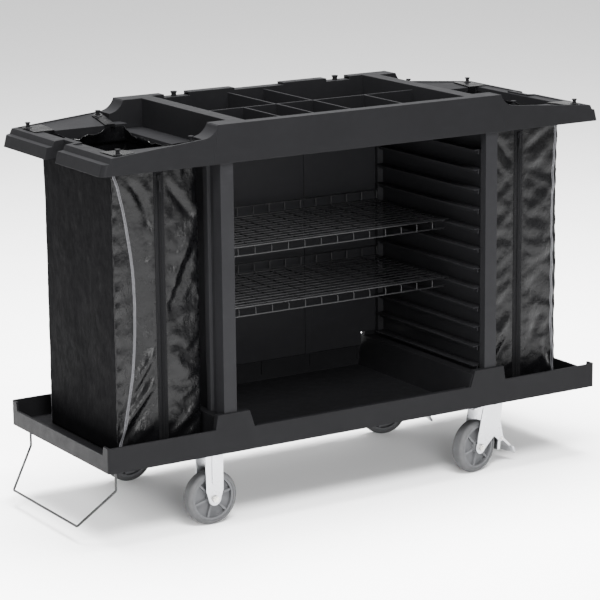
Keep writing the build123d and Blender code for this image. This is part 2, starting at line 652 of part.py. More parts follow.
def wheel_tyre(wheel_x):
    """The rubber tyre, with a rounded tread."""
    half = WHEEL_WIDTH / 2
    tyre = rod_y(wheel_x, WHEEL_RADIUS, WHEEL_RADIUS, -half, half)
    shoulder = tyre.edges().filter_by(GeomType.CIRCLE)
    tyre = fillet(shoulder, 11)
    return tyre - rod_y(wheel_x, WHEEL_RADIUS, HUB_RADIUS, -half - 1, half + 1)


def axle_bolt(wheel_x):
    """The axle bolt and its nut."""
    outside = FORK_HALF_GAP + FORK_THICK
    bolt = rod_y(wheel_x, WHEEL_RADIUS, AXLE_RADIUS, -outside - 9, outside)
    bolt += hexagon_y(wheel_x, WHEEL_RADIUS, 9.2, outside, outside + 6)
    nut = hexagon_y(wheel_x, WHEEL_RADIUS, 9.2, -outside - 7, -outside)
    nut -= rod_y(wheel_x, WHEEL_RADIUS, AXLE_RADIUS + AXLE_GAP / 2, -outside - 10, -outside + 3)
    return Compound([bolt, nut])


def mounting_bolts():
    """The four bolts that hold a caster's plate to its pad."""
    bolts = []
    for x, y in caster_bolt_places():
        bolt = rod_z(x, y, BOLT_RADIUS, PLATE_BOTTOM, FLOOR_TOP - 2)
        bolts.append(bolt + hexagon_z(x, y, 7.5, PLATE_BOTTOM - 5.5, PLATE_BOTTOM))
    return Compound(bolts)


def caster_plate():
    """The mounting plate with its four bolt holes."""
    plate = Pos(0, 0, PLATE_BOTTOM) * extrude(RectangleRounded(PLATE_LENGTH, PLATE_WIDTH, 10), PLATE_THICK)
    for x, y in caster_bolt_places():
        plate -= rod_z(x, y, BOLT_RADIUS + AXLE_GAP, PLATE_BOTTOM - 1, PAD_BOTTOM + 1)
    return plate


def fork_leg(outline, side, wheel_x):
    """One flat fork leg with a rounded foot round the axle and the axle's hole."""
    y0, y1 = sorted((side * FORK_HALF_GAP, side * (FORK_HALF_GAP + FORK_THICK)))
    leg = prism_y(outline, y0, y1) + rod_y(wheel_x, WHEEL_RADIUS, 18, y0, y1)
    return leg - rod_y(wheel_x, WHEEL_RADIUS, AXLE_RADIUS + AXLE_GAP / 2, y0 - 1, y1 + 1)


def rigid_fork():
    """The fixed fork: plate, two straight legs with a pressed rib, in one piece."""
    fork = caster_plate()
    outline = [(-26, PLATE_BOTTOM + 1), (26, PLATE_BOTTOM + 1), (25, WHEEL_RADIUS + 22),
               (17, WHEEL_RADIUS - 5), (-17, WHEEL_RADIUS - 5), (-25, WHEEL_RADIUS + 22)]
    for side in (-1, 1):
        fork += fork_leg(outline, side, 0.0)
        y0, y1 = sorted((side * (FORK_HALF_GAP + 1), side * (FORK_HALF_GAP + FORK_THICK + 2.5)))
        rib = slab(-8, 8, y0, y1, WHEEL_RADIUS + 46, PLATE_BOTTOM + 0.5)
        fork += rib + rod_y(0, WHEEL_RADIUS + 46, 8, y0, y1)
    return fork


def swivel_fork():
    """The swivelling fork: a round crown with two raked legs."""
    crown_top = PLATE_BOTTOM - 10
    crown = rod_z(0, 0, 37, crown_top - 4, crown_top)
    crown += slab(-82, 0, -FORK_HALF_GAP - FORK_THICK, FORK_HALF_GAP + FORK_THICK, crown_top - 4, crown_top)
    outline = [(-44, crown_top - 1), (34, crown_top - 1), (30, crown_top - 38), (12, WHEEL_RADIUS + 30),
               (-39, WHEEL_RADIUS - 8), (-71, WHEEL_RADIUS - 8), (-66, WHEEL_RADIUS + 30)]
    fork = crown
    for side in (-1, 1):
        leg = fork_leg(outline, side, -TRAIL)
        y0, y1 = sorted((side * FORK_HALF_GAP, side * (FORK_HALF_GAP + FORK_THICK)))
        ear = prism_y([(5, WHEEL_RADIUS + 60), (26, WHEEL_RADIUS + 60), (PEDAL_PIN_X + 8, PEDAL_PIN_Z),
                       (PEDAL_PIN_X - 9, PEDAL_PIN_Z - 6), (-4, WHEEL_RADIUS + 24)], y0, y1)
        leg += ear + rod_y(PEDAL_PIN_X, PEDAL_PIN_Z, 8, y0, y1)
        fork += leg - rod_y(PEDAL_PIN_X, PEDAL_PIN_Z, PEDAL_PIN_RADIUS + AXLE_GAP / 2, y0 - 1, y1 + 1)
    return fork - rod_z(0, 0, 6.05, crown_top - 6, crown_top + 1)


def kingpin():
    """The riveted kingpin that the fork turns on."""
    shaft = rod_z(0, 0, 6, PLATE_BOTTOM - 19, PLATE_BOTTOM)
    return shaft + rod_z(0, 0, 11, PLATE_BOTTOM - 22, PLATE_BOTTOM - 14.4)


def swivel_race():
    """The upper raceway cup under the swivel plate."""
    cup = rod_z(0, 0, 33, PLATE_BOTTOM - 6, PLATE_BOTTOM)
    return cup - rod_z(0, 0, 6.05, PLATE_BOTTOM - 7, PLATE_BOTTOM + 1)


def swivel_seal():
    """The dust ring between the race and the fork's crown, which turns with the fork."""
    ring = rod_z(0, 0, 30, PLATE_BOTTOM - 9.9, PLATE_BOTTOM - 6.3)
    return ring - rod_z(0, 0, 14, PLATE_BOTTOM - 11, PLATE_BOTTOM)


def brake_pedal():
    """The foot brake: a boss on its pin, a shoe facing the tyre and a foot plate."""
    width = PEDAL_HALF_WIDTH
    x = PEDAL_PIN_X
    z = PEDAL_PIN_Z
    pedal = rod_y(x, z, 7, -width, width)
    pedal += prism_y([(x - 5, z), (x + 5, z - 2), (x + 2, z - 34), (x - 9, z - 32)], -width, width)
    pedal += prism_y([(x - 4, z + 5), (x + 8, z + 5), (x + 52, z - 34), (x + 49, z - 39), (x + 4, z - 3)],
                     -width, width)
    pedal += prism_y([(x + 44, z - 33), (x + 52, z - 34), (x + 62, z - 52), (x + 57, z - 54)], -width - 6, width + 6)
    return pedal - rod_y(x, z, PEDAL_PIN_RADIUS + AXLE_GAP, -width - 1, width + 1)


def brake_pin():
    """The pin through the fork's ears that the pedal turns on."""
    reach = FORK_HALF_GAP + FORK_THICK + 2
    return rod_y(PEDAL_PIN_X, PEDAL_PIN_Z, PEDAL_PIN_RADIUS, -reach, reach)


def caster_nodes(name, swivels):
    """Every piece of one caster, by node name."""
    wheel_x = -TRAIL if swivels else 0.0
    nodes = {
        "wheel_hub": wheel_hub(wheel_x),
        "tyre": wheel_tyre(wheel_x),
        "axle_bolt": axle_bolt(wheel_x),
    }
    if swivels:
        nodes["swivel_fork"] = swivel_fork()
        nodes["kingpin"] = kingpin()
        nodes["race"] = swivel_race()
        nodes["dust_ring"] = swivel_seal()
        nodes["brake_pedal"] = brake_pedal()
        nodes["brake_pin"] = brake_pin()
    else:
        nodes["fork"] = rigid_fork()
    return {name + "_" + key: shape for key, shape in nodes.items()}


def fixed_caster_nodes(name, swivels):
    """The pieces of one caster that never turn, by node name."""
    nodes = {name + "_mounting_bolts": mounting_bolts()}
    if swivels:
        nodes[name + "_plate"] = caster_plate() - rod_z(0, 0, 6.05, PLATE_BOTTOM - 1, PLATE_BOTTOM + 0.01)
    return nodes


# ---------------------------------------------------------------- whole cart

def cart():
    """All nodes of the cart about its own middle."""
    nodes = {"base_deck": base_deck(), "centre_tray": centre_tray(), "tray_pegs": tray_pegs()}
    right_end = {
        "side_panel": side_panel(), "shelf_runners": shelf_runners(), "wing": wing(),
        "bag_pegs": bag_pegs(), "bag": bag(), "bag_eyelets": bag_eyelets(),
        "zip_tape": zip_tape(), "zip_slider": zip_slider(),
    }
    for name, shape in right_end.items():
        nodes["right_" + name] = shape
        nodes["left_" + name] = mirrored_x(shape)

    nodes["back_panel_left"] = mirrored_x(right_back_panel())
    nodes["back_panel_centre"] = back_panel(-BACK_JOINT + 2.5, BACK_JOINT - 2.5)
    nodes["back_panel_right"] = right_back_panel()
    nodes["back_joint_strips"] = Compound([back_joint_strip(-BACK_JOINT), back_joint_strip(BACK_JOINT)])

    for name, step in (("upper_wire_shelf", UPPER_SHELF_RUNNER), ("lower_wire_shelf", LOWER_SHELF_RUNNER)):
        nodes[name] = wire_shelf(RUNNER_TOP - step * RUNNER_PITCH + 0.2)

    nodes["holder_wire"] = holder_wire()
    nodes["holder_clips"] = holder_clips()

    for name, x, y, yaw in caster_places():
        swivels = "right" in name
        for node, shape in caster_nodes(name, swivels).items():
            nodes[node] = Pos(x, y, 0) * Rot(0, 0, yaw) * shape
        for node, shape in fixed_caster_nodes(name, swivels).items():
            nodes[node] = Pos(x, y, 0) * shape
    return nodes


os.makedirs("parts", exist_ok=True)
for node_name, node_shape in cart().items():
    export_step(Pos(FRAME_SHIFT, 0, 0) * node_shape, "parts/" + node_name + ".step")
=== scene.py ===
import math

import bmesh
import bpy
from bpy.props import FloatProperty, FloatVectorProperty, IntProperty, PointerProperty
from bpy.types import Operator, Panel, PropertyGroup
from mathutils import Matrix, Vector, noise


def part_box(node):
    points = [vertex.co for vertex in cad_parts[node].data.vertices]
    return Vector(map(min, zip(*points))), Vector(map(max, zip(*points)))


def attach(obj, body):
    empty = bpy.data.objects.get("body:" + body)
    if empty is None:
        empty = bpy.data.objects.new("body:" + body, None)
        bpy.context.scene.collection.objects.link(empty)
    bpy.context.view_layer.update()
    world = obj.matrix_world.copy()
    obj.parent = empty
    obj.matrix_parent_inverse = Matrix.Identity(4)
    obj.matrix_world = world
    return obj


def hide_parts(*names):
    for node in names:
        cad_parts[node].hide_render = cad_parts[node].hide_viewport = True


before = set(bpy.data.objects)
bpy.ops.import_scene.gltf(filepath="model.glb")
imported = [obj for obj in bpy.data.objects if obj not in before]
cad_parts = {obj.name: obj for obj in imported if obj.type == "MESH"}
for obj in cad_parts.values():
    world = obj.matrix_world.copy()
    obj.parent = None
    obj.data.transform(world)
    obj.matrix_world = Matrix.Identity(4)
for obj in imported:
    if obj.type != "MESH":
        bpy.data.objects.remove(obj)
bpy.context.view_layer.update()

bl_info = {
    "name": "Housekeeping Cart",
    "version": (1, 0, 0),
    "blender": (4, 5, 0),
    "location": "3D View > Sidebar > Cart",
    "description": "Dresses the cart's frame: vinyl bags, zippers, wire shelves and every finish",
    "category": "Object",
}

DECK_LOW, DECK_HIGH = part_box("base_deck")
MIDDLE = (DECK_LOW.x + DECK_HIGH.x) / 2
SIDES = (("left", -1), ("right", 1))

# The bags and wings. Places along the cart count from its middle, places across it from its
# centre line, and heights from the floor.
BAG_INNER = 0.446
BAG_OUTER = 0.690
BAG_HALF = 0.190
BAG_FOOT = 0.2085
BAG_SHOULDER = 0.943
NECK_INNER = 0.452
NECK_OUTER = 0.6852
NECK_HALF = 0.1832
NECK_TOP = 0.984
WING_ROOT = 0.470
WING_ROOT_TOP = 1.013
WING_FALL = 25.0 / 292.0
TROUGH_FLOOR = 0.989
MOUTH_HALF = 0.186
TROUGH_EDGE = 0.2725
SEAM_COLUMN = 0.650
ZIP_PLACE = 0.557
ZIP_STRIP = 0.019
SEAM_START = 0.235
SEAM_RISE = 0.69
RIGHT_SEAM = (0.008, 0.003)
WELT_RADIUS = 0.0013
CLOTH_REACH = 0.012
NECK_RINGS = 6
SLACK_START = 0.512
SLACK_RUN = 0.142
SIDE_SLACK = 0.020
END_SLACK = 0.018
LEFT_BUNCH = 0.042
RIGHT_BUNCH = 0.010

# The tabs that hold the neck up on its pegs
PEG_PLACES = (0.495, 0.700)
PEG_Y = 0.250
TAB_HALF = 0.0145
TAB_END = 0.014
TAB_THICK = 0.0012
TAB_CLEAR = 0.0016
TAB_ROUND = 0.009
TAB_HOLE = 0.0078

# Zippers and wire shelves
TAPE_THICK = 0.0008
APRON_DROP = 0.020
ROD_RADIUS = 0.002


def trough_height(reach, y):
    """Height of a wing's dished top beside the mouth."""
    rim = WING_ROOT_TOP - (reach - WING_ROOT) * WING_FALL - 0.003
    share = max(0.0, (abs(y) - MOUTH_HALF) / (TROUGH_EDGE - MOUTH_HALF))
    return TROUGH_FLOOR + share * (rim - TROUGH_FLOOR)


def stretch(sign, near, far):
    """The low and the high end, along the cart, of a stretch of one side."""
    return sorted((MIDDLE + sign * near, MIDDLE + sign * far))


# ---------------------------------------------------------------- sizes and colours

def colour_setting(name, description, default):
    """A colour that can be set in the panel."""
    return FloatVectorProperty(
        name=name, description=description, subtype="COLOR", default=default, min=0, max=1)


def length_setting(name, description, default):
    """A length that can be set in the panel."""
    return FloatProperty(name=name, description=description, unit="LENGTH", default=default)


def angle_setting(name, description, degrees):
    """An angle that can be set in the panel."""
    return FloatProperty(name=name, description=description, subtype="ANGLE", default=math.radians(degrees))


class CartColours(PropertyGroup):
    """Colours of the cart's finishes."""

    plastic: colour_setting("Plastic", "Moulded structural plastic", (0.0046, 0.0046, 0.0050))
    vinyl: colour_setting("Vinyl", "Bag vinyl", (0.0016, 0.0016, 0.0018))
    wire: colour_setting("Wire", "Coated shelf wire", (0.0046, 0.0046, 0.0050))
    steel: colour_setting("Steel", "Zinc plated caster steel", (0.40, 0.405, 0.42))
    tyre: colour_setting("Tyre", "Grey tyre rubber", (0.028, 0.0285, 0.030))
    hub: colour_setting("Hub", "Grey wheel centre plastic", (0.065, 0.066, 0.069))


class BagSizes(PropertyGroup):
    """Sizes of the vinyl bags."""

    corner: length_setting("Corner", "Radius of the bag's upright corners", 0.006)
    mesh_step: length_setting("Mesh step", "Spacing of the cloth's points", 0.0105)
    thickness: length_setting("Thickness", "Thickness of the vinyl", 0.0012)
    seam_bow: length_setting(
        "Seam bow", "How far the left bag's front seam bows away from the corner at mid height", 0.063)
    seam_depth: length_setting(
        "Seam depth", "How far the left bag's front is sucked in along its seam", 0.018)
    settle_frames: IntProperty(
        name="Settling", description="Frames for which the vinyl settles as cloth", default=16, min=1)


class ShelfSizes(PropertyGroup):
    """Sizes of the wire shelves."""

    thin_wire: length_setting("Thin wire", "Diameter of the grid's wires", 0.003)
    frame_wire: length_setting("Frame wire", "Diameter of the edge wires", 0.005)
    rows: IntProperty(name="Rows", description="Spaces between the long wires", default=13, min=2)
    bays: IntProperty(name="Bays", description="Spaces between the cross wires", default=15, min=2)


class ZipSizes(PropertyGroup):
    """Sizes of the zippers."""

    tooth_pitch: length_setting("Tooth pitch", "Spacing of the teeth", 0.0036)
    stitch_pitch: length_setting("Stitch pitch", "Spacing of the stitches", 0.006)


class StageSizes(PropertyGroup):
    """The camera's place, turn and lens."""

    camera_place: FloatVectorProperty(
        name="Camera", description="Place of the camera", subtype="TRANSLATION", unit="LENGTH",
        default=(-3.511, -5.688, 2.0554))
    heading: angle_setting("Heading", "The camera's turn from the cart's depth axis", 31.664)
    dip: angle_setting("Dip", "How far the camera looks down", 13.162)
    roll: angle_setting("Roll", "The camera's roll", -0.571)
    lens: FloatProperty(name="Lens", description="Focal length in millimetres on a 36 mm sensor", default=152.6)


# ---------------------------------------------------------------- modelling helpers

def edit():
    """Enters edit mode."""
    bpy.ops.object.mode_set(mode="EDIT")


def leave_edit():
    """Goes back to object mode."""
    bpy.ops.object.mode_set(mode="OBJECT")


def deselect():
    """Leaves edit mode and selects nothing."""
    if bpy.context.object and bpy.context.object.mode != "OBJECT":
        leave_edit()
    bpy.ops.object.select_all(action="DESELECT")


def make_active(*pieces):
    """Selects only these pieces and makes the last of them active."""
    deselect()
    for piece in pieces:
        piece.select_set(True)
    bpy.context.view_layer.objects.active = pieces[-1]


def named(piece, name):
    """Names a piece and its mesh."""
    piece.name = name
    piece.data.name = name
    return piece


def settle_place(piece):
    """Puts the piece's place, turn and scale into its mesh."""
    make_active(piece)
    bpy.ops.object.transform_apply(location=True, rotation=True, scale=True)
    return piece


def add_block(name, low, high):
    """A block between two corners, with its place in its mesh."""
    low, high = Vector(low), Vector(high)
    deselect()
    bpy.ops.mesh.primitive_cube_add(size=1, location=(low + high) / 2, scale=high - low)
    return settle_place(named(bpy.context.object, name))


def add_rod(name, start, end, radius, vertices):
    """A straight wire between two points, with slightly rounded ends."""
    start, end = Vector(start), Vector(end)
    along = end - start
    deselect()
    bpy.ops.mesh.primitive_cylinder_add(
        vertices=vertices, radius=radius, depth=along.length, location=(start + end) / 2,
        rotation=along.to_track_quat("Z", "Y").to_euler())
    rod = settle_place(named(bpy.context.object, name))
    edit()
    direction = along.normalized()
    pick(rod, "EDGE", lambda edge: abs((edge.verts[0].co - edge.verts[1].co).normalized().dot(direction)) < 0.5)
    bpy.ops.mesh.bevel(offset=radius * 0.35, segments=2)
    leave_edit()
    return rod


def middle_of(item):
    """The middle of a mesh vertex, edge or face."""
    if isinstance(item, bmesh.types.BMVert):
        return item.co
    if isinstance(item, bmesh.types.BMEdge):
        return (item.verts[0].co + item.verts[1].co) / 2
    return item.calc_center_median()


def pick(piece, kind, test):
    """In edit mode, selects the piece's VERTs, EDGEs or FACEs that pass a test."""
    bpy.ops.mesh.select_mode(type=kind)
    bpy.ops.mesh.select_all(action="DESELECT")
    mesh = bmesh.from_edit_mesh(piece.data)
    items = {"VERT": mesh.verts, "EDGE": mesh.edges, "FACE": mesh.faces}[kind]
    for item in [item for item in items if test(item)]:
        item.select_set(True)
    mesh.select_flush_mode()
    bmesh.update_edit_mesh(piece.data)


def slice_across(axis, places):
    """In edit mode, cuts the whole mesh at these places along an axis."""
    normal = Vector((0, 0, 0))
    normal[axis] = 1
    for place in places:
        bpy.ops.mesh.select_all(action="SELECT")
        bpy.ops.mesh.bisect(plane_co=normal * place, plane_no=normal)


def steps_between(low, high, step):
    """Evenly spaced places strictly between two ends, about a step apart."""
    count = max(1, round((high - low) / step))
    return [low + (high - low) * i / count for i in range(1, count)]


def finish_modifier(piece, kind, **settings):
    """Adds a modifier to a piece and applies it."""
    make_active(piece)
    modifier = piece.modifiers.new(kind.lower(), kind)
    for name, value in settings.items():
        setattr(modifier, name, value)
    bpy.ops.object.modifier_apply(modifier=modifier.name)
    return piece


def join(name, pieces):
    """Joins pieces into one."""
    make_active(*pieces)
    if len(pieces) > 1:
        bpy.ops.object.join()
    return named(bpy.context.view_layer.objects.active, name)


def copy_of(piece, name, offset):
    """A copy of a piece with its own mesh, moved by an offset."""
    twin = piece.copy()
    twin.data = piece.data.copy()
    bpy.context.scene.collection.objects.link(twin)
    twin.data.transform(Matrix.Translation(offset))
    return named(twin, name)


def smooth(piece, angle=35):
    """Smooth shading, kept crisp at edges sharper than the angle."""
    make_active(piece)
    bpy.ops.object.shade_smooth_by_angle(angle=math.radians(angle))
    return piece


def face_outwards(piece):
    """Merges doubled points and turns every face outwards."""
    make_active(piece)
    edit()
    bpy.ops.mesh.select_all(action="SELECT")
    bpy.ops.mesh.remove_doubles(threshold=0.00002)
    bpy.ops.mesh.normals_make_consistent(inside=False)
    leave_edit()
    return piece


def edges_to_wire(name, radius):
    """Turns the active piece's edges into a round wire along them."""
    bpy.ops.object.convert(target="CURVE")
    curve = bpy.context.object.data
    curve.bevel_depth = radius
    curve.bevel_resolution = 2
    curve.use_fill_caps = True
    bpy.ops.object.convert(target="MESH")
    return face_outwards(named(bpy.context.object, name))


def bent_wire(name, route, radius, bend):
    """A round wire along straight runs with rounded bends, drawn by pulling one point along the route."""
    route = [Vector(point) for point in route]
    deselect()
    bpy.ops.mesh.primitive_plane_add(size=0.001, location=route[0])
    settle_place(named(bpy.context.object, name))
    edit()
    bpy.ops.mesh.select_mode(type="VERT")
    bpy.ops.mesh.select_all(action="SELECT")
    bpy.ops.mesh.merge(type="CENTER")
    for here, there in zip(route, route[1:]):
        bpy.ops.mesh.extrude_region_move(TRANSFORM_OT_translate={"value": there - here})
    bpy.ops.mesh.select_all(action="SELECT")
    bpy.ops.mesh.bevel(offset=bend, offset_type="OFFSET", segments=4, affect="VERTICES")
    leave_edit()
    return edges_to_wire(name, radius)


# ---------------------------------------------------------------- finishes

class Finish:
    """A node material that is being wired up."""

    def __init__(self, name, roughness, metallic=0.0, **sockets):
        self.material = bpy.data.materials.new(name)
        self.material.use_nodes = True
        self.tree = self.material.node_tree
        self.shader = self.tree.nodes["Principled BSDF"]
        self.shader.inputs["Roughness"].default_value = roughness
        self.shader.inputs["Metallic"].default_value = metallic
        for socket, value in sockets.items():
            self.shader.inputs[socket.replace("_", " ")].default_value = value
        self.place = self.tree.nodes.new("ShaderNodeTexCoord").outputs["Object"]

    def node(self, kind, settings=None, **links):
        """A node with settings, its inputs given as sockets or values."""
        node = self.tree.nodes.new("ShaderNode" + kind)
        for key, value in (settings or {}).items():
            setattr(node, key, value)
        for key, value in links.items():
            self.set(node.inputs[key.replace("_", " ")], value)
        return node

    def set(self, socket, value):
        """Links or sets one input."""
        if isinstance(value, bpy.types.NodeSocket):
            self.tree.links.new(value, socket)
        else:
            socket.default_value = value

    def stretched(self, scale):
        """The piece's own coordinates, scaled along each axis."""
        return self.node("Mapping", Vector=self.place, Scale=scale).outputs["Vector"]

    def noise(self, scale, detail=3.0, roughness=0.5, vector=None):
        """A noise pattern from 0 to 1."""
        return self.node("TexNoise", Vector=vector or self.place, Scale=scale, Detail=detail,
                         Roughness=roughness).outputs["Fac"]

    def between(self, value, low, high, to_low=0.0, to_high=1.0):
        """A value remapped from one range to another, and kept inside it."""
        node = self.node("MapRange", Value=value)
        self.set(node.inputs["From Min"], low)
        self.set(node.inputs["From Max"], high)
        self.set(node.inputs["To Min"], to_low)
        self.set(node.inputs["To Max"], to_high)
        return node.outputs["Result"]

    def sum(self, first, second, operation="ADD"):
        """Two values put together by a plain operation."""
        node = self.tree.nodes.new("ShaderNodeMath")
        node.operation = operation
        self.set(node.inputs[0], first)
        self.set(node.inputs[1], second)
        return node.outputs[0]

    def mix(self, amount, first, second):
        """A colour between two others."""
        node = self.tree.nodes.new("ShaderNodeMix")
        node.data_type = "RGBA"
        self.set(node.inputs["Factor"], amount)
        self.set(node.inputs["A"], first)
        self.set(node.inputs["B"], second)
        return node.outputs["Result"]

    def soft_edges(self, radius):
        """Normals rounded at the piece's edges."""
        return self.node("Bevel", {"samples": 4}, Radius=radius).outputs["Normal"]

    def worn_edges(self, rounded):
        """1 on rounded edges and 0 on flat faces."""
        plain = self.node("NewGeometry").outputs["Normal"]
        same = self.node("VectorMath", {"operation": "DOT_PRODUCT"})
        self.set(same.inputs[0], rounded)
        self.set(same.inputs[1], plain)
        return self.between(same.outputs["Value"], 0.985, 0.85)

    def bump(self, height, strength, distance, normal=None):
        """Adds relief, over any relief given before it."""
        node = self.node("Bump", Height=height, Strength=strength, Distance=distance)
        if normal is not None:
            self.set(node.inputs["Normal"], normal)
        return node.outputs["Normal"]

    def done(self, colour, roughness, normal=None):
        """Links the finished patterns to the shader and returns the material."""
        self.set(self.shader.inputs["Base Color"], colour)
        self.set(self.shader.inputs["Roughness"], roughness)
        if normal is not None:
            self.set(self.shader.inputs["Normal"], normal)
        return self.material


def shade(colour, factor=1.0):
    """A colour with its lightness scaled, as four numbers."""
    return tuple(min(1.0, channel * factor) for channel in colour) + (1.0,)


def moulded_plastic(name, colour, grain=1.0, gloss=0.44, edge=0.0022):
    """Textured structural plastic: fine grain, soft mottling, scuffs and paler worn edges."""
    finish = Finish(name, gloss, Specular_IOR_Level=0.03)
    rounded = finish.soft_edges(edge)
    mottle = finish.noise(7, 4)
    scuffs = finish.between(finish.noise(26, 6, 0.62, finish.stretched((0.35, 1, 2.4))), 0.60, 0.76)
    dust = finish.between(finish.noise(55, 3), 0.45, 0.8, 0, 0.5)
    body = finish.mix(mottle, shade(colour, 0.86), shade(colour, 1.16))
    dusty = finish.mix(finish.sum(dust, 0.22, "MULTIPLY"), body, shade(colour, 2.1))
    scuffed = finish.mix(finish.sum(scuffs, 0.16, "MULTIPLY"), dusty, shade(colour, 2.8))
    worn = finish.mix(finish.sum(finish.worn_edges(rounded), 0.35, "MULTIPLY"), scuffed, shade(colour, 2.6))
    pores = finish.noise(950, 2)
    relief = finish.bump(pores, 0.22 * grain, 0.0003, rounded)
    waves = finish.bump(finish.noise(9, 2), 0.05, 0.004, relief)
    rough = finish.between(finish.noise(34, 5, 0.6), 0.25, 0.75, gloss - 0.07, gloss + 0.09)
    return finish.done(worn, rough, waves)


def bag_vinyl(colour):
    """Coated vinyl: glossy and creased on the front and back, dull on the flat ends."""
    finish = Finish("bag_vinyl", 0.3)
    mottle = finish.noise(11, 5)
    rubbed = finish.between(finish.noise(30, 6, 0.66, finish.stretched((1, 1, 0.45))), 0.55, 0.8)
    body = finish.mix(mottle, shade(colour, 0.75), shade(colour, 1.3))
    final = finish.mix(finish.sum(rubbed, 0.35, "MULTIPLY"), body, shade(colour, 2.2))
    across = finish.node("SeparateXYZ", Vector=finish.place)
    sideways = finish.sum(across.outputs["X"], across.outputs["Y"])
    warp = finish.sum(finish.sum(sideways, 2600.0, "MULTIPLY"), 0.0, "SINE")
    weft = finish.sum(finish.sum(across.outputs["Z"], 2600.0, "MULTIPLY"), 0.0, "SINE")
    weave = finish.bump(finish.sum(warp, weft), 0.10, 0.0002)
    creases = finish.bump(finish.noise(22, 5, 0.58, finish.stretched((1, 1, 0.7))), 0.45, 0.010, weave)
    crinkles = finish.bump(finish.noise(95, 3, 0.5), 0.12, 0.0020, creases)
    facing = finish.node("SeparateXYZ", Vector=finish.node("NewGeometry").outputs["Normal"]).outputs["X"]
    dull = finish.between(finish.sum(facing, 0.0, "ABSOLUTE"), 0.80, 0.93)
    finish.set(finish.shader.inputs["Specular IOR Level"], finish.between(dull, 0, 1, 0.11, 0.012))
    gloss = finish.between(finish.noise(40, 4, 0.6), 0.3, 0.75, 0.18, 0.36)
    rough = finish.sum(gloss, finish.sum(dull, 0.4, "MULTIPLY"))
    return finish.done(final, rough, crinkles)


def binding_tape(colour):
    """Ribbed woven tape for the zippers."""
    finish = Finish("binding_tape", 0.75, Specular_IOR_Level=0.05)
    ribs = finish.node("TexWave", {"wave_type": "BANDS", "bands_direction": "Z"}, Vector=finish.place,
                       Scale=420.0, Distortion=0.6).outputs["Fac"]
    body = finish.mix(ribs, shade(colour, 1.2), shade(colour, 2.4))
    fuzz = finish.bump(finish.noise(1200, 2), 0.2, 0.0002)
    relief = finish.bump(ribs, 0.5, 0.0004, fuzz)
    rough = finish.between(finish.noise(200, 3), 0.3, 0.7, 0.62, 0.85)
    return finish.done(body, rough, relief)


def coated_wire(name, colour):
    """Powder coat over wire: a faint orange peel and rubbed spots."""
    finish = Finish(name, 0.38, Specular_IOR_Level=0.25)
    peel = finish.noise(420, 2)
    rubs = finish.between(finish.noise(60, 5, 0.65), 0.6, 0.72)
    body = finish.mix(finish.sum(rubs, 0.5, "MULTIPLY"), shade(colour, 1.0), shade(colour, 3.0))
    relief = finish.bump(peel, 0.25, 0.0004)
    rough = finish.between(finish.noise(90, 3), 0.3, 0.7, 0.30, 0.46)
    return finish.done(body, rough, relief)


def plated_steel(name, colour, rough_low=0.22, rough_high=0.42):
    """Plated sheet steel: cloudy plating, fine rolling lines and dull worn spots."""
    finish = Finish(name, 0.3, 1.0)
    clouds = finish.noise(38, 5, 0.6)
    spots = finish.between(finish.noise(120, 5, 0.7), 0.62, 0.75)
    body = finish.mix(clouds, shade(colour, 0.82), shade(colour, 1.08))
    final = finish.mix(finish.sum(spots, 0.45, "MULTIPLY"), body, shade(colour, 0.45))
    lines = finish.noise(300, 3, 0.5, finish.stretched((1, 1, 0.08)))
    rounded = finish.soft_edges(0.0007)
    relief = finish.bump(lines, 0.12, 0.0003, rounded)
    rough = finish.between(clouds, 0.3, 0.7, rough_low, rough_high)
    return finish.done(final, rough, relief)


def tyre_rubber(colour):
    """Grey non-marking rubber with grime in its pores."""
    finish = Finish("tyre_rubber", 0.7)
    grime = finish.between(finish.noise(45, 6, 0.65), 0.42, 0.72)
    body = finish.mix(finish.sum(grime, 0.6, "MULTIPLY"), shade(colour, 1.05), shade(colour, 0.55))
    rounded = finish.soft_edges(0.0022)
    relief = finish.bump(finish.noise(800, 3), 0.35, 0.0004, rounded)
    rough = finish.between(finish.noise(70, 3), 0.3, 0.7, 0.6, 0.82)
    return finish.done(body, rough, relief)


def clear_zinc(colour):
    """Fastener plating with a faint iridescent tint."""
    finish = Finish("fastener_plating", 0.3, 1.0)
    tint = finish.mix(finish.noise(150, 4), shade(colour, 1.0), (0.60, 0.58, 0.50, 1))
    relief = finish.bump(finish.noise(500, 3), 0.2, 0.0003, finish.soft_edges(0.0005))
    rough = finish.between(finish.noise(180, 4), 0.3, 0.7, 0.24, 0.45)
    return finish.done(tint, rough, relief)


def stitching_thread():
    """Twisted thread."""
    finish = Finish("stitching_thread", 0.55, Specular_IOR_Level=0.1)
    twist = finish.noise(2200, 2)
    body = finish.mix(twist, (0.004, 0.004, 0.0042, 1), (0.012, 0.012, 0.0125, 1))
    return finish.done(body, finish.between(twist, 0.3, 0.7, 0.45, 0.65), finish.bump(twist, 0.4, 0.0002))


MATERIALS = {}


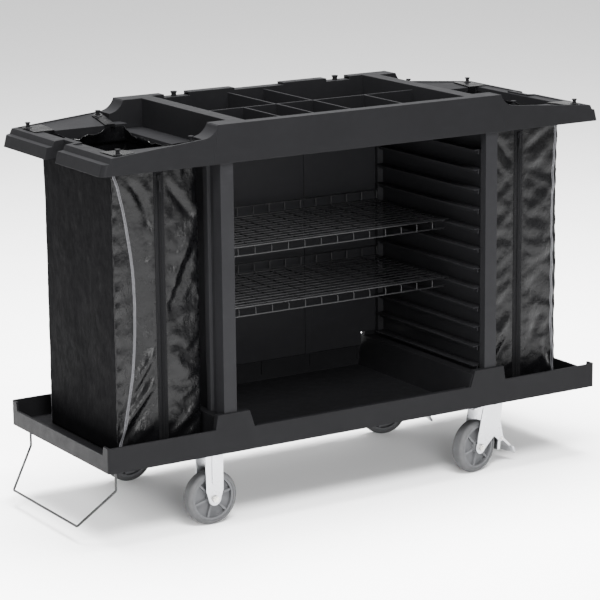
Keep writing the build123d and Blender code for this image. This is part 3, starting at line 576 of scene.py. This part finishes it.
def finish_of(name):
    """The cart's finish of that name, made when it is first asked for."""
    colours = bpy.context.scene.cart_colours
    makers = {
        "structure": lambda: moulded_plastic("structure_plastic", colours.plastic),
        # The panels' plastic is the structure's colour painted 1.7 times lighter: painted light standing in for
        # light reaching the cabinet's shaded inside.
        "panels": lambda: moulded_plastic("panel_plastic_painted_lighter", shade(colours.plastic, 1.7)[:3], 0.8, 0.40, 0.0015),
        "pedal": lambda: moulded_plastic("pedal_plastic", colours.plastic, 1.2, 0.5, 0.0012),
        "hub": lambda: moulded_plastic("hub_plastic", colours.hub, 0.7, 0.42, 0.0012),
        "vinyl": lambda: bag_vinyl(colours.vinyl),
        "tape": lambda: binding_tape(colours.vinyl),
        "wire": lambda: coated_wire("shelf_wire_coat", colours.wire),
        "holder": lambda: coated_wire("holder_wire_coat", shade(colours.wire, 1.3)[:3]),
        "steel": lambda: plated_steel("caster_steel", colours.steel),
        "bright": lambda: plated_steel("bright_steel", shade(colours.steel, 1.12)[:3], 0.12, 0.28),
        "fastener": lambda: clear_zinc(colours.steel),
        "tyre": lambda: tyre_rubber(colours.tyre),
        "thread": stitching_thread,
        # The seam piping is the wire colour painted nine times lighter: a painted highlight for the light
        # caught along the seams.
        "piping_painted_highlight": lambda: coated_wire("seam_piping", shade(colours.wire, 9)[:3]),
    }
    if name not in MATERIALS:
        MATERIALS[name] = makers[name]()
    return MATERIALS[name]


def dress(node_name, finish_name):
    """Gives a carried-over node of the frame its finish."""
    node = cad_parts[node_name]
    for material_slot in node.material_slots:
        material_slot.material = finish_of(finish_name)


def mount(piece, body, finish_name):
    """Gives a new piece its finish and the body it moves with."""
    piece.data.materials.clear()
    piece.data.materials.append(finish_of(finish_name))
    for face in piece.data.polygons:
        face.material_index = 0
    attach(piece, body)
    return piece


# ---------------------------------------------------------------- bags

def seam_bow(height):
    """0 at the bag's foot and shoulder and 1 at mid height, as the front seam bows."""
    along = (height - SEAM_START) / SEAM_RISE
    return math.sin(math.pi * min(1.0, max(0.0, along))) ** 0.8


def fold_depth(point, start, end, width):
    """1 on a fold's line, falling to 0 beside it and towards its ends."""
    start, end = Vector(start), Vector(end)
    along = end - start
    share = (point - start).dot(along) / along.length_squared
    if share < 0 or share > 1:
        return 0.0
    off = (point - start - along * share).length
    return math.exp(-(off / width) ** 2) * math.sin(math.pi * share) ** 0.6


# Folds on a bag's front face: (reach, height) where each starts and ends, its width and
# its depth, positive inwards.
LEFT_FOLDS = (
    ((0.636, 0.918), (0.564, 0.770), 0.010, 0.016),
    ((0.660, 0.912), (0.572, 0.800), 0.009, -0.008),
    ((0.610, 0.920), (0.566, 0.810), 0.008, -0.005),
    ((0.574, 0.478), (0.634, 0.366), 0.009, -0.010),
    ((0.576, 0.446), (0.640, 0.330), 0.010, 0.009),
    ((0.572, 0.400), (0.686, 0.250), 0.008, -0.010),
    ((0.574, 0.365), (0.680, 0.232), 0.010, 0.008),
    ((0.574, 0.300), (0.640, 0.222), 0.008, -0.006),
    ((0.448, 0.840), (0.530, 0.590), 0.020, -0.008),
    ((0.456, 0.750), (0.534, 0.540), 0.014, 0.009),
    ((0.534, 0.900), (0.466, 0.800), 0.010, 0.007),
    ((0.452, 0.320), (0.534, 0.238), 0.008, -0.007),
    ((0.450, 0.285), (0.512, 0.228), 0.008, 0.006),
)
RIGHT_FOLDS = (
    ((0.470, 0.935), (0.538, 0.830), 0.009, 0.010),
    ((0.452, 0.905), (0.536, 0.790), 0.009, -0.006),
    ((0.684, 0.935), (0.580, 0.865), 0.009, 0.009),
    ((0.686, 0.900), (0.590, 0.820), 0.009, -0.005),
    ((0.450, 0.240), (0.536, 0.360), 0.009, 0.009),
    ((0.455, 0.290), (0.535, 0.420), 0.010, -0.006),
    ((0.648, 0.330), (0.686, 0.240), 0.007, 0.009),
    ((0.634, 0.320), (0.668, 0.232), 0.008, -0.007),
    ((0.640, 0.420), (0.580, 0.270), 0.013, 0.005),
)


def bag_shape(co, sign, bow, depth, folds):
    """Where a point of the plain box goes on the sagging bag."""
    if co.z > BAG_SHOULDER + 0.001:
        return co
    drawn = sign * (co.x - MIDDLE)
    reach, y, z = drawn, co.y, co.z
    height = (z - BAG_FOOT) / (BAG_SHOULDER - BAG_FOOT)
    out = math.sin(math.pi * min(1.0, max(0.0, height)))
    if y > BAG_HALF - 0.001:
        y += out * 0.004 * noise.noise(Vector((reach * 11, z * 4.5, 9.0 + sign)))
    elif reach > BAG_OUTER - 0.001 or reach < BAG_INNER + 0.001:
        reach += out * 0.0022 * noise.noise(Vector((y * 7, z * 3.2, sign * 4.0)))
    elif y < -BAG_HALF + 0.001:
        # the front is sucked in along its bowed seam, which is a column of the box
        strip = ZIP_PLACE + ZIP_STRIP
        seam = BAG_OUTER - 0.004 - bow * seam_bow(z)
        if reach > SEAM_COLUMN:
            share = (BAG_OUTER - reach) / (BAG_OUTER - SEAM_COLUMN)
            reach = BAG_OUTER - share * (BAG_OUTER - seam)
        elif reach > strip:
            share = (reach - strip) / (SEAM_COLUMN - strip)
            reach = strip + share * (seam - strip)
        else:
            share = 0.0
        push = depth * share * seam_bow(z)
        clear = min(1.0, max(0.0, abs(drawn - ZIP_PLACE) - ZIP_STRIP) / 0.012)
        for start, end, width, fold in folds:
            push += fold * fold_depth(Vector((reach, z)), start, end, width)
        push += 0.0035 * noise.noise(Vector((reach * 12, z * 6, 2.0 + sign)))
        push += 0.0018 * noise.noise(Vector((reach * 40, z * 28, 5.0 + sign)))
        y += push * clear * min(1.0, out * 4)
    return Vector((MIDDLE + sign * reach, y, z))


def neck_edge(reach, y):
    """Height of the neck's slack top edge, which hangs between its four tabs."""
    if abs(y) > NECK_HALF - 0.002:
        along = (reach - SLACK_START) / SLACK_RUN
        drop = SIDE_SLACK
    else:
        along = (y + NECK_HALF) / (2 * NECK_HALF)
        drop = END_SLACK
    slack = math.sin(math.pi * min(1.0, max(0.0, along))) ** 0.7
    return NECK_TOP - drop * slack * (0.8 + 0.4 * noise.noise(Vector((reach * 26, y * 26, 1.5))))


def neck_shape(co, sign, bunch):
    """Where a point of the straight neck goes: up to its slack edge, and crumpled inwards."""
    if co.z <= BAG_SHOULDER + 0.001:
        return co
    reach = sign * (co.x - MIDDLE)
    share = (co.z - BAG_SHOULDER) / (NECK_TOP - BAG_SHOULDER)
    z = BAG_SHOULDER + share * (neck_edge(reach, co.y) - BAG_SHOULDER)
    on_side = abs(co.y) > NECK_HALF - 0.002
    slack = (NECK_TOP - neck_edge(reach, co.y)) / SIDE_SLACK
    around = reach if on_side else co.y
    crumple = noise.noise(Vector((around * 34, z * 40, sign * 3.0)))
    depth = share * slack * (0.004 + bunch * (0.5 + 0.9 * abs(crumple)))
    x, y = co.x, co.y
    if on_side:
        y -= math.copysign(depth, co.y)
    elif reach > (NECK_INNER + NECK_OUTER) / 2:
        x -= sign * depth
    else:
        x += sign * depth
    z += share * slack * bunch * 0.35 * noise.noise(Vector((around * 50, 4.0, sign)))
    return Vector((x, y, min(z, NECK_TOP)))


def held_share(co, sign):
    """1 where the bag can't move: its neck, foot, flat ends and stiff zipper; 0 on the free cloth."""
    reach = sign * (co.x - MIDDLE)
    held = [
        1.0 if co.z > BAG_SHOULDER - 0.004 else 0.0,
        1.0 if co.z < BAG_FOOT + 0.006 else 0.0,
        1.0 if abs(co.y) < BAG_HALF - 0.004 else 0.0,
    ]
    if co.y < -BAG_HALF + 0.02:
        held.append(1.0 if abs(reach - ZIP_PLACE) < ZIP_STRIP + 0.002 else 0.0)
    return max(held)


def settle_as_cloth(bag, sign, frames):
    """Lets the vinyl buckle and settle, then keeps each point near where it was drawn."""
    drawn = [vertex.co.copy() for vertex in bag.data.vertices]
    group = bag.vertex_groups.new(name="held")
    for vertex in bag.data.vertices:
        group.add([vertex.index], held_share(vertex.co, sign), "REPLACE")
    make_active(bag)
    cloth = bag.modifiers.new("cloth", "CLOTH")
    settings = cloth.settings
    settings.quality = 5
    settings.mass = 0.35
    settings.tension_stiffness = 18
    settings.compression_stiffness = 18
    settings.shear_stiffness = 9
    settings.bending_stiffness = 0.6
    settings.air_damping = 3
    settings.shrink_min = -0.012
    settings.vertex_group_mass = "held"
    settings.use_internal_springs = False
    cloth.collision_settings.use_collision = False
    settings.effector_weights.gravity = 0.5
    for step in range(1, frames + 1):
        bpy.context.scene.frame_set(step)
    bpy.ops.object.modifier_apply(modifier="cloth")
    bpy.context.scene.frame_set(1)
    bag.vertex_groups.clear()
    for vertex, place in zip(bag.data.vertices, drawn):
        moved = vertex.co - place
        if moved.length > CLOTH_REACH:
            moved.length = CLOTH_REACH
        vertex.co = place + moved


def bag_shell(name, sign, sizes):
    """The bag's skin: a tall box, cut fine, whose open top is pulled up as a neck."""
    ends = stretch(sign, BAG_INNER, BAG_OUTER)
    bag = add_block(name, (ends[0], -BAG_HALF, BAG_FOOT), (ends[1], BAG_HALF, BAG_SHOULDER))
    edit()
    pick(bag, "EDGE", lambda edge: abs(edge.verts[0].co.z - edge.verts[1].co.z) > 0.1)
    bpy.ops.mesh.bevel(offset=sizes.corner, segments=3)
    step = sizes.mesh_step
    neck = stretch(sign, NECK_INNER, NECK_OUTER)
    marks = [MIDDLE + sign * (ZIP_PLACE - ZIP_STRIP), MIDDLE + sign * (ZIP_PLACE + ZIP_STRIP),
             MIDDLE + sign * SEAM_COLUMN]
    columns = [x for x in steps_between(neck[0], neck[1], step)
               if min(abs(x - mark) for mark in marks) > 0.3 * step]
    slice_across(0, neck + marks + columns)
    slice_across(1, [-NECK_HALF, NECK_HALF] + steps_between(-NECK_HALF, NECK_HALF, step))
    slice_across(2, steps_between(BAG_FOOT, BAG_SHOULDER, step))
    pick(bag, "FACE", lambda face: middle_of(face).z > BAG_SHOULDER - 0.0001
         and neck[0] < middle_of(face).x < neck[1] and abs(middle_of(face).y) < NECK_HALF)
    bpy.ops.mesh.delete(type="FACE")
    pick(bag, "EDGE", lambda edge: edge.is_boundary)
    lift = (NECK_TOP - BAG_SHOULDER) / NECK_RINGS
    for _ in range(NECK_RINGS):
        bpy.ops.mesh.extrude_region_move(TRANSFORM_OT_translate={"value": (0, 0, lift)})
    leave_edit()
    return face_outwards(bag)


def seam_welt(name, bag, mark):
    """A welt along the bag's points that carry a mark."""
    make_active(bag)
    edit()
    marks = bmesh.from_edit_mesh(bag.data).verts.layers.int["seam"]
    pick(bag, "EDGE", lambda edge: all(vertex[marks] == mark for vertex in edge.verts)
         and abs(edge.verts[0].co.z - edge.verts[1].co.z) > 0.004)
    bpy.ops.mesh.duplicate()
    bpy.ops.mesh.separate(type="SELECTED")
    leave_edit()
    welt = [piece for piece in bpy.context.selected_objects if piece is not bag][0]
    make_active(welt)
    return smooth(edges_to_wire(name, WELT_RADIUS), 60)


def mark_seams(bag, sign, corner):
    """Marks the bag's points on its front seam with 1 and on its outer back corner with 2."""
    layer = bag.data.attributes.new("seam", "INT", "POINT")
    inset = corner * (1 - math.cos(math.radians(45)))
    for vertex in bag.data.vertices:
        reach = sign * (vertex.co.x - MIDDLE)
        if not 0.215 < vertex.co.z < BAG_SHOULDER - 0.003:
            continue
        if vertex.co.y < -BAG_HALF + 0.001 and abs(reach - SEAM_COLUMN) < 0.001:
            layer.data[vertex.index].value = 1
        elif abs(vertex.co.y - BAG_HALF + inset) < 0.0016 and abs(reach - BAG_OUTER + inset) < 0.0016:
            layer.data[vertex.index].value = 2


def peg_tabs(name, sign):
    """The four tabs that rise from the neck and reach over the dished top to the pegs."""
    tabs = []
    for place in PEG_PLACES:
        for front in (-1, 1):
            inner = front * (NECK_HALF - TAB_THICK)
            outer = front * (PEG_Y + TAB_END)
            near = min(place, NECK_OUTER - TAB_END)
            xs = stretch(sign, near - TAB_HALF, place + TAB_HALF)
            ys = sorted((inner, outer))
            tab = add_block("tab", (xs[0], ys[0], 0), (xs[1], ys[1], TAB_THICK))
            edit()
            pick(tab, "EDGE", lambda edge: abs(edge.verts[0].co.z - edge.verts[1].co.z) > 0.001
                 and abs(edge.verts[0].co.y - outer) < 0.001)
            bpy.ops.mesh.bevel(offset=TAB_ROUND, segments=4)
            slice_across(1, steps_between(ys[0], ys[1], 0.008))
            leave_edit()
            deselect()
            bpy.ops.mesh.primitive_cylinder_add(
                vertices=20, radius=TAB_HOLE, depth=0.01, location=(MIDDLE + sign * place, front * PEG_Y, 0))
            punch = bpy.context.object
            finish_modifier(tab, "BOOLEAN", object=punch, operation="DIFFERENCE", solver="EXACT")
            bpy.data.objects.remove(punch)
            for vertex in tab.data.vertices:
                reach = sign * (vertex.co.x - MIDDLE)
                along = (abs(vertex.co.y) - abs(inner)) / (abs(outer) - abs(inner))
                bow = 0.0010 * math.sin(math.pi * along)
                vertex.co.z += trough_height(reach, vertex.co.y) + TAB_CLEAR + bow
            rise_xs = stretch(sign, near - TAB_HALF, near + TAB_HALF)
            rise_ys = sorted((inner, inner + front * TAB_THICK))
            rise = add_block("rise", (rise_xs[0], rise_ys[0], NECK_TOP - 0.012),
                             (rise_xs[1], rise_ys[1], TROUGH_FLOOR + 0.0026))
            tabs += [tab, rise]
    return smooth(face_outwards(join(name, tabs)))


def build_bag(side, sign):
    """One bag: its settled skin, seam welts and peg tabs."""
    sizes = bpy.context.scene.bag_sizes
    bag = bag_shell(side + "_bag_vinyl", sign, sizes)
    mark_seams(bag, sign, sizes.corner)
    left = sign < 0
    bow, depth = (sizes.seam_bow, sizes.seam_depth) if left else RIGHT_SEAM
    folds, bunch = (LEFT_FOLDS, LEFT_BUNCH) if left else (RIGHT_FOLDS, RIGHT_BUNCH)
    for vertex in bag.data.vertices:
        vertex.co = neck_shape(bag_shape(vertex.co, sign, bow, depth, folds), sign, bunch)
    settle_as_cloth(bag, sign, sizes.settle_frames)
    finish_modifier(bag, "SUBSURF", levels=1, render_levels=1)
    welts = [seam_welt(side + "_bag_front_welt", bag, 1), seam_welt(side + "_bag_back_welt", bag, 2)]
    finish_modifier(bag, "SOLIDIFY", thickness=sizes.thickness, offset=-1)
    smooth(bag, 80)
    mount(bag, "cart", "vinyl")
    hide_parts(side + "_bag")
    tabs = mount(peg_tabs(side + "_bag_tabs", sign), "cart", "vinyl")
    # The welts are real seams, and their pale finish is a painted highlight along them.
    for welt in welts:
        mount(welt, "cart", "piping_painted_highlight")


# ---------------------------------------------------------------- zippers

def zip_teeth(name, low, high, pitch):
    """Two interlocked rows of moulded teeth between two heights."""
    middle = (low.x + high.x) / 2
    front = low.y
    tooth = add_block("tooth", (middle - 0.0027, front, low.z + 0.006),
                      (middle + 0.0007, front + 0.0012, low.z + 0.0077))
    edit()
    pick(tooth, "FACE", lambda face: face.normal.x > 0.9)
    bpy.ops.transform.resize(value=(1, 0.8, 0.75))
    leave_edit()
    other = copy_of(tooth, "tooth", (0, 0, pitch / 2))
    other.data.transform(Matrix.Translation((2 * middle, 0, 0)) @ Matrix.Scale(-1, 4, (1, 0, 0)))
    face_outwards(other)
    pair = join(name, [tooth, other])
    count = int((high.z - low.z - 0.014) / pitch)
    finish_modifier(pair, "ARRAY", count=count, use_relative_offset=False, use_constant_offset=True,
                    constant_offset_displace=(0, 0, pitch))
    return pair


def stitch_row(x, y, bottom, top, pitch):
    """A vertical row of stitches lying on a face that looks to the front."""
    stitch = add_block("stitch", (x - 0.00035, y - 0.0006, bottom),
                       (x + 0.00035, y + 0.0001, bottom + pitch * 0.68))
    edit()
    slice_across(2, [bottom + pitch * 0.18, bottom + pitch * 0.5])
    pick(stitch, "FACE", lambda face: abs(face.normal.z) > 0.9)
    bpy.ops.transform.resize(value=(0.5, 0.4, 1))
    bpy.ops.transform.translate(value=(0, 0.0002, 0))
    leave_edit()
    return finish_modifier(stitch, "ARRAY", count=int((top - bottom) / pitch), use_relative_offset=False,
                           use_constant_offset=True, constant_offset_displace=(0, 0, pitch))


def build_zipper(side, sizes):
    """The zipper's tape, teeth and stitching."""
    low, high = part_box(side + "_zip_tape")
    back = high.y
    tape_front = back - TAPE_THICK
    tape = add_block(side + "_zipper_tape", (low.x, tape_front, low.z), (high.x, back, high.z))
    edit()
    middle = (low.x + high.x) / 2
    slice_across(0, [low.x + 0.003, middle - 0.0045, middle - 0.0006,
                     middle + 0.0006, middle + 0.0045, high.x - 0.003])
    pick(tape, "FACE", lambda face: face.normal.y < -0.9 and abs(middle_of(face).x - middle) < 0.0006)
    bpy.ops.transform.translate(value=(0, 0.0005, 0))
    pick(tape, "EDGE", lambda edge: edge.calc_face_angle(0) > 1.2)
    bpy.ops.mesh.bevel(offset=0.0003, segments=2)
    leave_edit()
    mount(smooth(face_outwards(tape)), "cart", "tape")
    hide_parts(side + "_zip_tape")
    teeth = zip_teeth(side + "_zipper_teeth", low, high, sizes.tooth_pitch)
    mount(smooth(teeth), "cart", "pedal")
    rows = [stitch_row(x, tape_front, low.z + 0.004, high.z - 0.004, sizes.stitch_pitch)
            for x in (low.x + 0.0022, low.x + 0.0062, high.x - 0.0062, high.x - 0.0022)]
    mount(smooth(join(side + "_zipper_stitching", rows)), "cart", "thread")


def build_slider(side):
    """The slider: a wedge-shaped body, its bridge and a pull with a shallow recess."""
    low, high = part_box(side + "_zip_slider")
    middle = (low.x + high.x) / 2
    body = add_block("body", (low.x, high.y - 0.003, high.z - 0.014), (high.x, high.y, high.z))
    edit()
    slice_across(2, [high.z - 0.009, high.z - 0.004])
    pick(body, "VERT", lambda vertex: vertex.co.z < high.z - 0.0135)
    bpy.ops.transform.resize(value=(0.62, 1, 1), center_override=(middle, high.y, high.z - 0.014))
    pick(body, "EDGE", lambda edge: edge.calc_face_angle(0) > 0.6)
    bpy.ops.mesh.bevel(offset=0.0007, segments=3)
    leave_edit()
    arch = [(middle, high.y - 0.002, high.z - 0.0125), (middle, low.y + 0.0006, high.z - 0.0105),
            (middle, low.y + 0.0006, high.z - 0.0045), (middle, high.y - 0.002, high.z - 0.0025)]
    bridge = bent_wire("bridge", arch, 0.0007, 0.001)
    pull = add_block("pull", (middle - 0.0034, low.y, low.z), (middle + 0.0034, low.y + 0.0014, high.z - 0.012))
    edit()
    slice_across(2, [low.z + 0.006, high.z - 0.022, high.z - 0.017])
    pick(pull, "VERT", lambda vertex: high.z - 0.023 < vertex.co.z < high.z - 0.016)
    bpy.ops.transform.resize(value=(0.62, 1, 1), center_override=(middle, low.y, high.z - 0.02))
    pick(pull, "FACE", lambda face: abs(face.normal.y) > 0.9 and middle_of(face).z < low.z + 0.012
         and middle_of(face).z > low.z + 0.006)
    bpy.ops.mesh.inset(thickness=0.0012, depth=-0.0003)
    pick(pull, "EDGE", lambda edge: edge.calc_face_angle(0) > 0.9)
    bpy.ops.mesh.bevel(offset=0.0003, segments=2)
    leave_edit()
    slider = smooth(face_outwards(join(side + "_zipper_slider", [body, bridge, pull])))
    mount(slider, side + "_slider", "pedal")
    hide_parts(side + "_zip_slider")


# ---------------------------------------------------------------- wire shelves

def build_shelf(name, body, sizes):
    """A welded shelf of round wires: edges, long wires, bent cross wires, back fence and front apron."""
    low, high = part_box(name)
    thin, thick = sizes.thin_wire / 2, sizes.frame_wire / 2
    rest = low.z + APRON_DROP
    level = rest + sizes.thin_wire
    fence_top = high.z - thin
    front, back = low.y + thick, high.y - thick
    pieces = [
        add_rod("front_edge", (low.x, front, level + thick), (high.x, front, level + thick), thick, 12),
        add_rod("back_edge", (low.x, back, level + thick), (high.x, back, level + thick), thick, 12),
        add_rod("fence_top", (low.x, back, fence_top - thin), (high.x, back, fence_top - thin), ROD_RADIUS, 10),
        add_rod("apron", (low.x + 0.014, low.y + ROD_RADIUS, low.z + ROD_RADIUS),
                (high.x - 0.014, low.y + ROD_RADIUS, low.z + ROD_RADIUS), ROD_RADIUS, 10),
    ]
    for row in range(1, sizes.rows):
        y = low.y + (high.y - low.y) * row / sizes.rows
        pieces.append(add_rod("long", (low.x, y, level + thin), (high.x, y, level + thin), thin, 8))
    first = low.x + sizes.thin_wire
    pitch = (high.x - low.x - 2 * sizes.thin_wire) / sizes.bays
    hanging = [(first, low.y + 0.0018, low.z + 0.002), (first, low.y + 0.0018, rest + thin),
               (first, back + thin + 0.0004, rest + thin), (first, back + thin + 0.0004, fence_top - thin)]
    plain = hanging[1:]
    cross = bent_wire("cross", hanging, thin, 0.005)
    edge = bent_wire("cross", plain, thin, 0.005)
    for bay in range(sizes.bays + 1):
        model = cross if 0 < bay < sizes.bays else edge
        pieces.append(copy_of(model, "cross", (pitch * bay, 0, 0)))
    bpy.data.objects.remove(cross)
    bpy.data.objects.remove(edge)
    shelf = smooth(join(name + "_wires", pieces), 50)
    mount(shelf, body, "wire")
    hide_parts(name)


# ---------------------------------------------------------------- operators

class CART_OT_structure(Operator):
    """Gives the deck, tray and wings their moulded finish, and the panels a copy of it painted lighter as
    painted light inside the cabinet
    """

    bl_idname = "cart.structure"
    bl_label = "Structure"

    def execute(self, context):
        for name in ("base_deck", "centre_tray", "left_wing", "right_wing"):
            dress(name, "structure")
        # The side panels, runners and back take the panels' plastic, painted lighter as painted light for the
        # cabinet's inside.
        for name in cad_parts:
            if "side_panel" in name or "runners" in name or name.startswith("back_"):
                dress(name, "panels")
        return {"FINISHED"}


class CART_OT_fittings(Operator):
    """Finishes the pegs, eyelets, clips and the wire holder"""

    bl_idname = "cart.fittings"
    bl_label = "Fittings"

    def execute(self, context):
        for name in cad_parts:
            if name.endswith("_pegs"):
                dress(name, "pedal")
            elif name.endswith("_eyelets"):
                dress(name, "holder")
        # The clips take the panels' plastic too, with its colour painted lighter as painted light.
        dress("holder_clips", "panels")
        dress("holder_wire", "holder")
        return {"FINISHED"}


class CART_OT_casters(Operator):
    """Finishes the forks, wheels, bolts and brakes of the four casters"""

    bl_idname = "cart.casters"
    bl_label = "Casters"

    def execute(self, context):
        endings = {
            "_wheel_hub": "hub", "_tyre": "tyre", "_axle_bolt": "fastener", "_fork": "steel",
            "_mounting_bolts": "fastener", "_kingpin": "fastener", "_race": "bright", "_dust_ring": "pedal",
            "_brake_pedal": "steel", "_brake_pin": "fastener", "_plate": "steel",
        }
        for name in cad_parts:
            for ending, finish_name in endings.items():
                if name.endswith(ending):
                    dress(name, finish_name)
        return {"FINISHED"}


class CART_OT_shelves(Operator):
    """Builds the two wire shelves"""

    bl_idname = "cart.shelves"
    bl_label = "Wire Shelves"

    def execute(self, context):
        for level in ("upper", "lower"):
            build_shelf(level + "_wire_shelf", level + "_shelf", context.scene.shelf_sizes)
        return {"FINISHED"}


class CART_OT_bags(Operator):
    """Builds the two vinyl bags"""

    bl_idname = "cart.bags"
    bl_label = "Vinyl Bags"

    def execute(self, context):
        for side, sign in SIDES:
            build_bag(side, sign)
        return {"FINISHED"}


class CART_OT_zippers(Operator):
    """Builds the bags' zippers and sliders"""

    bl_idname = "cart.zippers"
    bl_label = "Zippers"

    def execute(self, context):
        for side, _ in SIDES:
            build_zipper(side, context.scene.zip_sizes)
            build_slider(side)
        return {"FINISHED"}


class CART_OT_stage(Operator):
    """Sets the floor, the lights and the camera"""

    bl_idname = "cart.stage"
    bl_label = "Stage"

    def execute(self, context):
        build_floor()
        build_lights()
        build_camera(context.scene.stage_sizes)
        return {"FINISHED"}


def build_floor():
    """A pale seamless floor, one wide flat plane under and around the cart."""
    deselect()
    bpy.ops.mesh.primitive_plane_add(size=40, location=(0, 0, 0))
    floor = settle_place(named(bpy.context.object, "floor"))
    finish = Finish("floor_paint", 0.8)
    tone = finish.mix(finish.noise(0.6, 2), (0.90, 0.90, 0.905, 1), (0.93, 0.93, 0.93, 1))
    floor.data.materials.append(finish.done(tone, finish.between(finish.noise(3, 2), 0.3, 0.7, 0.7, 0.85)))


def add_softbox(name, place, target, size, power):
    """A large rectangular light that faces a point."""
    deselect()
    place, target = Vector(place), Vector(target)
    turn = (place - target).to_track_quat("Z", "Y").to_euler()
    bpy.ops.object.light_add(type="AREA", location=place, rotation=turn)
    lamp = bpy.context.object
    lamp.name = name
    lamp.data.shape = "RECTANGLE"
    lamp.data.size, lamp.data.size_y = size
    lamp.data.energy = power


def build_lights():
    """A white room with a high front key, a low front fill, a softer light from the left and a top light."""
    world = bpy.data.worlds.new("studio")
    bpy.context.scene.world = world
    world.use_nodes = True
    back = world.node_tree.nodes["Background"]
    back.inputs["Color"].default_value = (1, 1, 1, 1)
    back.inputs["Strength"].default_value = 1.1
    add_softbox("key", (-0.9, -3.2, 5.0), (0, 0, 0.5), (2.6, 1.8), 850)
    add_softbox("fill", (-1.5, -5.2, 1.5), (0, 0, 0.6), (2.2, 1.4), 330)
    add_softbox("side", (-4.2, -1.0, 3.4), (0, 0, 0.6), (2.0, 2.0), 260)
    add_softbox("top", (0.2, 0.4, 4.4), (0, 0, 0.9), (3.0, 2.0), 1500)


def build_camera(sizes):
    """The camera at its viewing angle."""
    forward = Vector((math.sin(sizes.heading) * math.cos(sizes.dip),
                      math.cos(sizes.heading) * math.cos(sizes.dip), -math.sin(sizes.dip)))
    level = Vector((math.cos(sizes.heading), -math.sin(sizes.heading), 0))
    upward = level.cross(forward)
    right = level * math.cos(sizes.roll) + upward * math.sin(sizes.roll)
    up = upward * math.cos(sizes.roll) - level * math.sin(sizes.roll)
    lens = bpy.data.cameras.new("camera")
    lens.lens = sizes.lens
    lens.sensor_width = 36
    lens.clip_end = 100
    camera = bpy.data.objects.new("camera", lens)
    bpy.context.scene.collection.objects.link(camera)
    turn = Matrix((right, up, -forward)).transposed().to_4x4()
    camera.matrix_world = Matrix.Translation(Vector(sizes.camera_place)) @ turn
    bpy.context.scene.camera = camera


STEPS = (CART_OT_structure, CART_OT_fittings, CART_OT_casters, CART_OT_shelves, CART_OT_bags, CART_OT_zippers,
         CART_OT_stage)


class CART_PT_panel(Panel):
    """Lists the steps that dress the cart"""

    bl_label = "Housekeeping Cart"
    bl_idname = "CART_PT_panel"
    bl_space_type = "VIEW_3D"
    bl_region_type = "UI"
    bl_category = "Cart"

    def draw(self, context):
        for step in STEPS:
            self.layout.operator(step.bl_idname)
        for group in ("cart_colours", "bag_sizes", "shelf_sizes", "zip_sizes", "stage_sizes"):
            box = self.layout.box()
            settings = getattr(context.scene, group)
            for name in settings.bl_rna.properties.keys():
                if name not in ("rna_type", "name"):
                    box.prop(settings, name)


GROUPS = {"cart_colours": CartColours, "bag_sizes": BagSizes, "shelf_sizes": ShelfSizes, "zip_sizes": ZipSizes,
          "stage_sizes": StageSizes}


def register():
    """Adds the property groups, the operators and the panel."""
    for name, group in GROUPS.items():
        bpy.utils.register_class(group)
        setattr(bpy.types.Scene, name, PointerProperty(type=group))
    for step in STEPS:
        bpy.utils.register_class(step)
    bpy.utils.register_class(CART_PT_panel)


def unregister():
    """Takes them away again."""
    bpy.utils.unregister_class(CART_PT_panel)
    for step in reversed(STEPS):
        bpy.utils.unregister_class(step)
    for name, group in reversed(GROUPS.items()):
        delattr(bpy.types.Scene, name)
        bpy.utils.unregister_class(group)


def main():
    """Builds everything in order."""
    register()
    bpy.ops.cart.structure()
    bpy.ops.cart.fittings()
    bpy.ops.cart.casters()
    bpy.ops.cart.shelves()
    bpy.ops.cart.bags()
    bpy.ops.cart.zippers()
    bpy.ops.cart.stage()
    deselect()


if __name__ == "__main__":
    main()
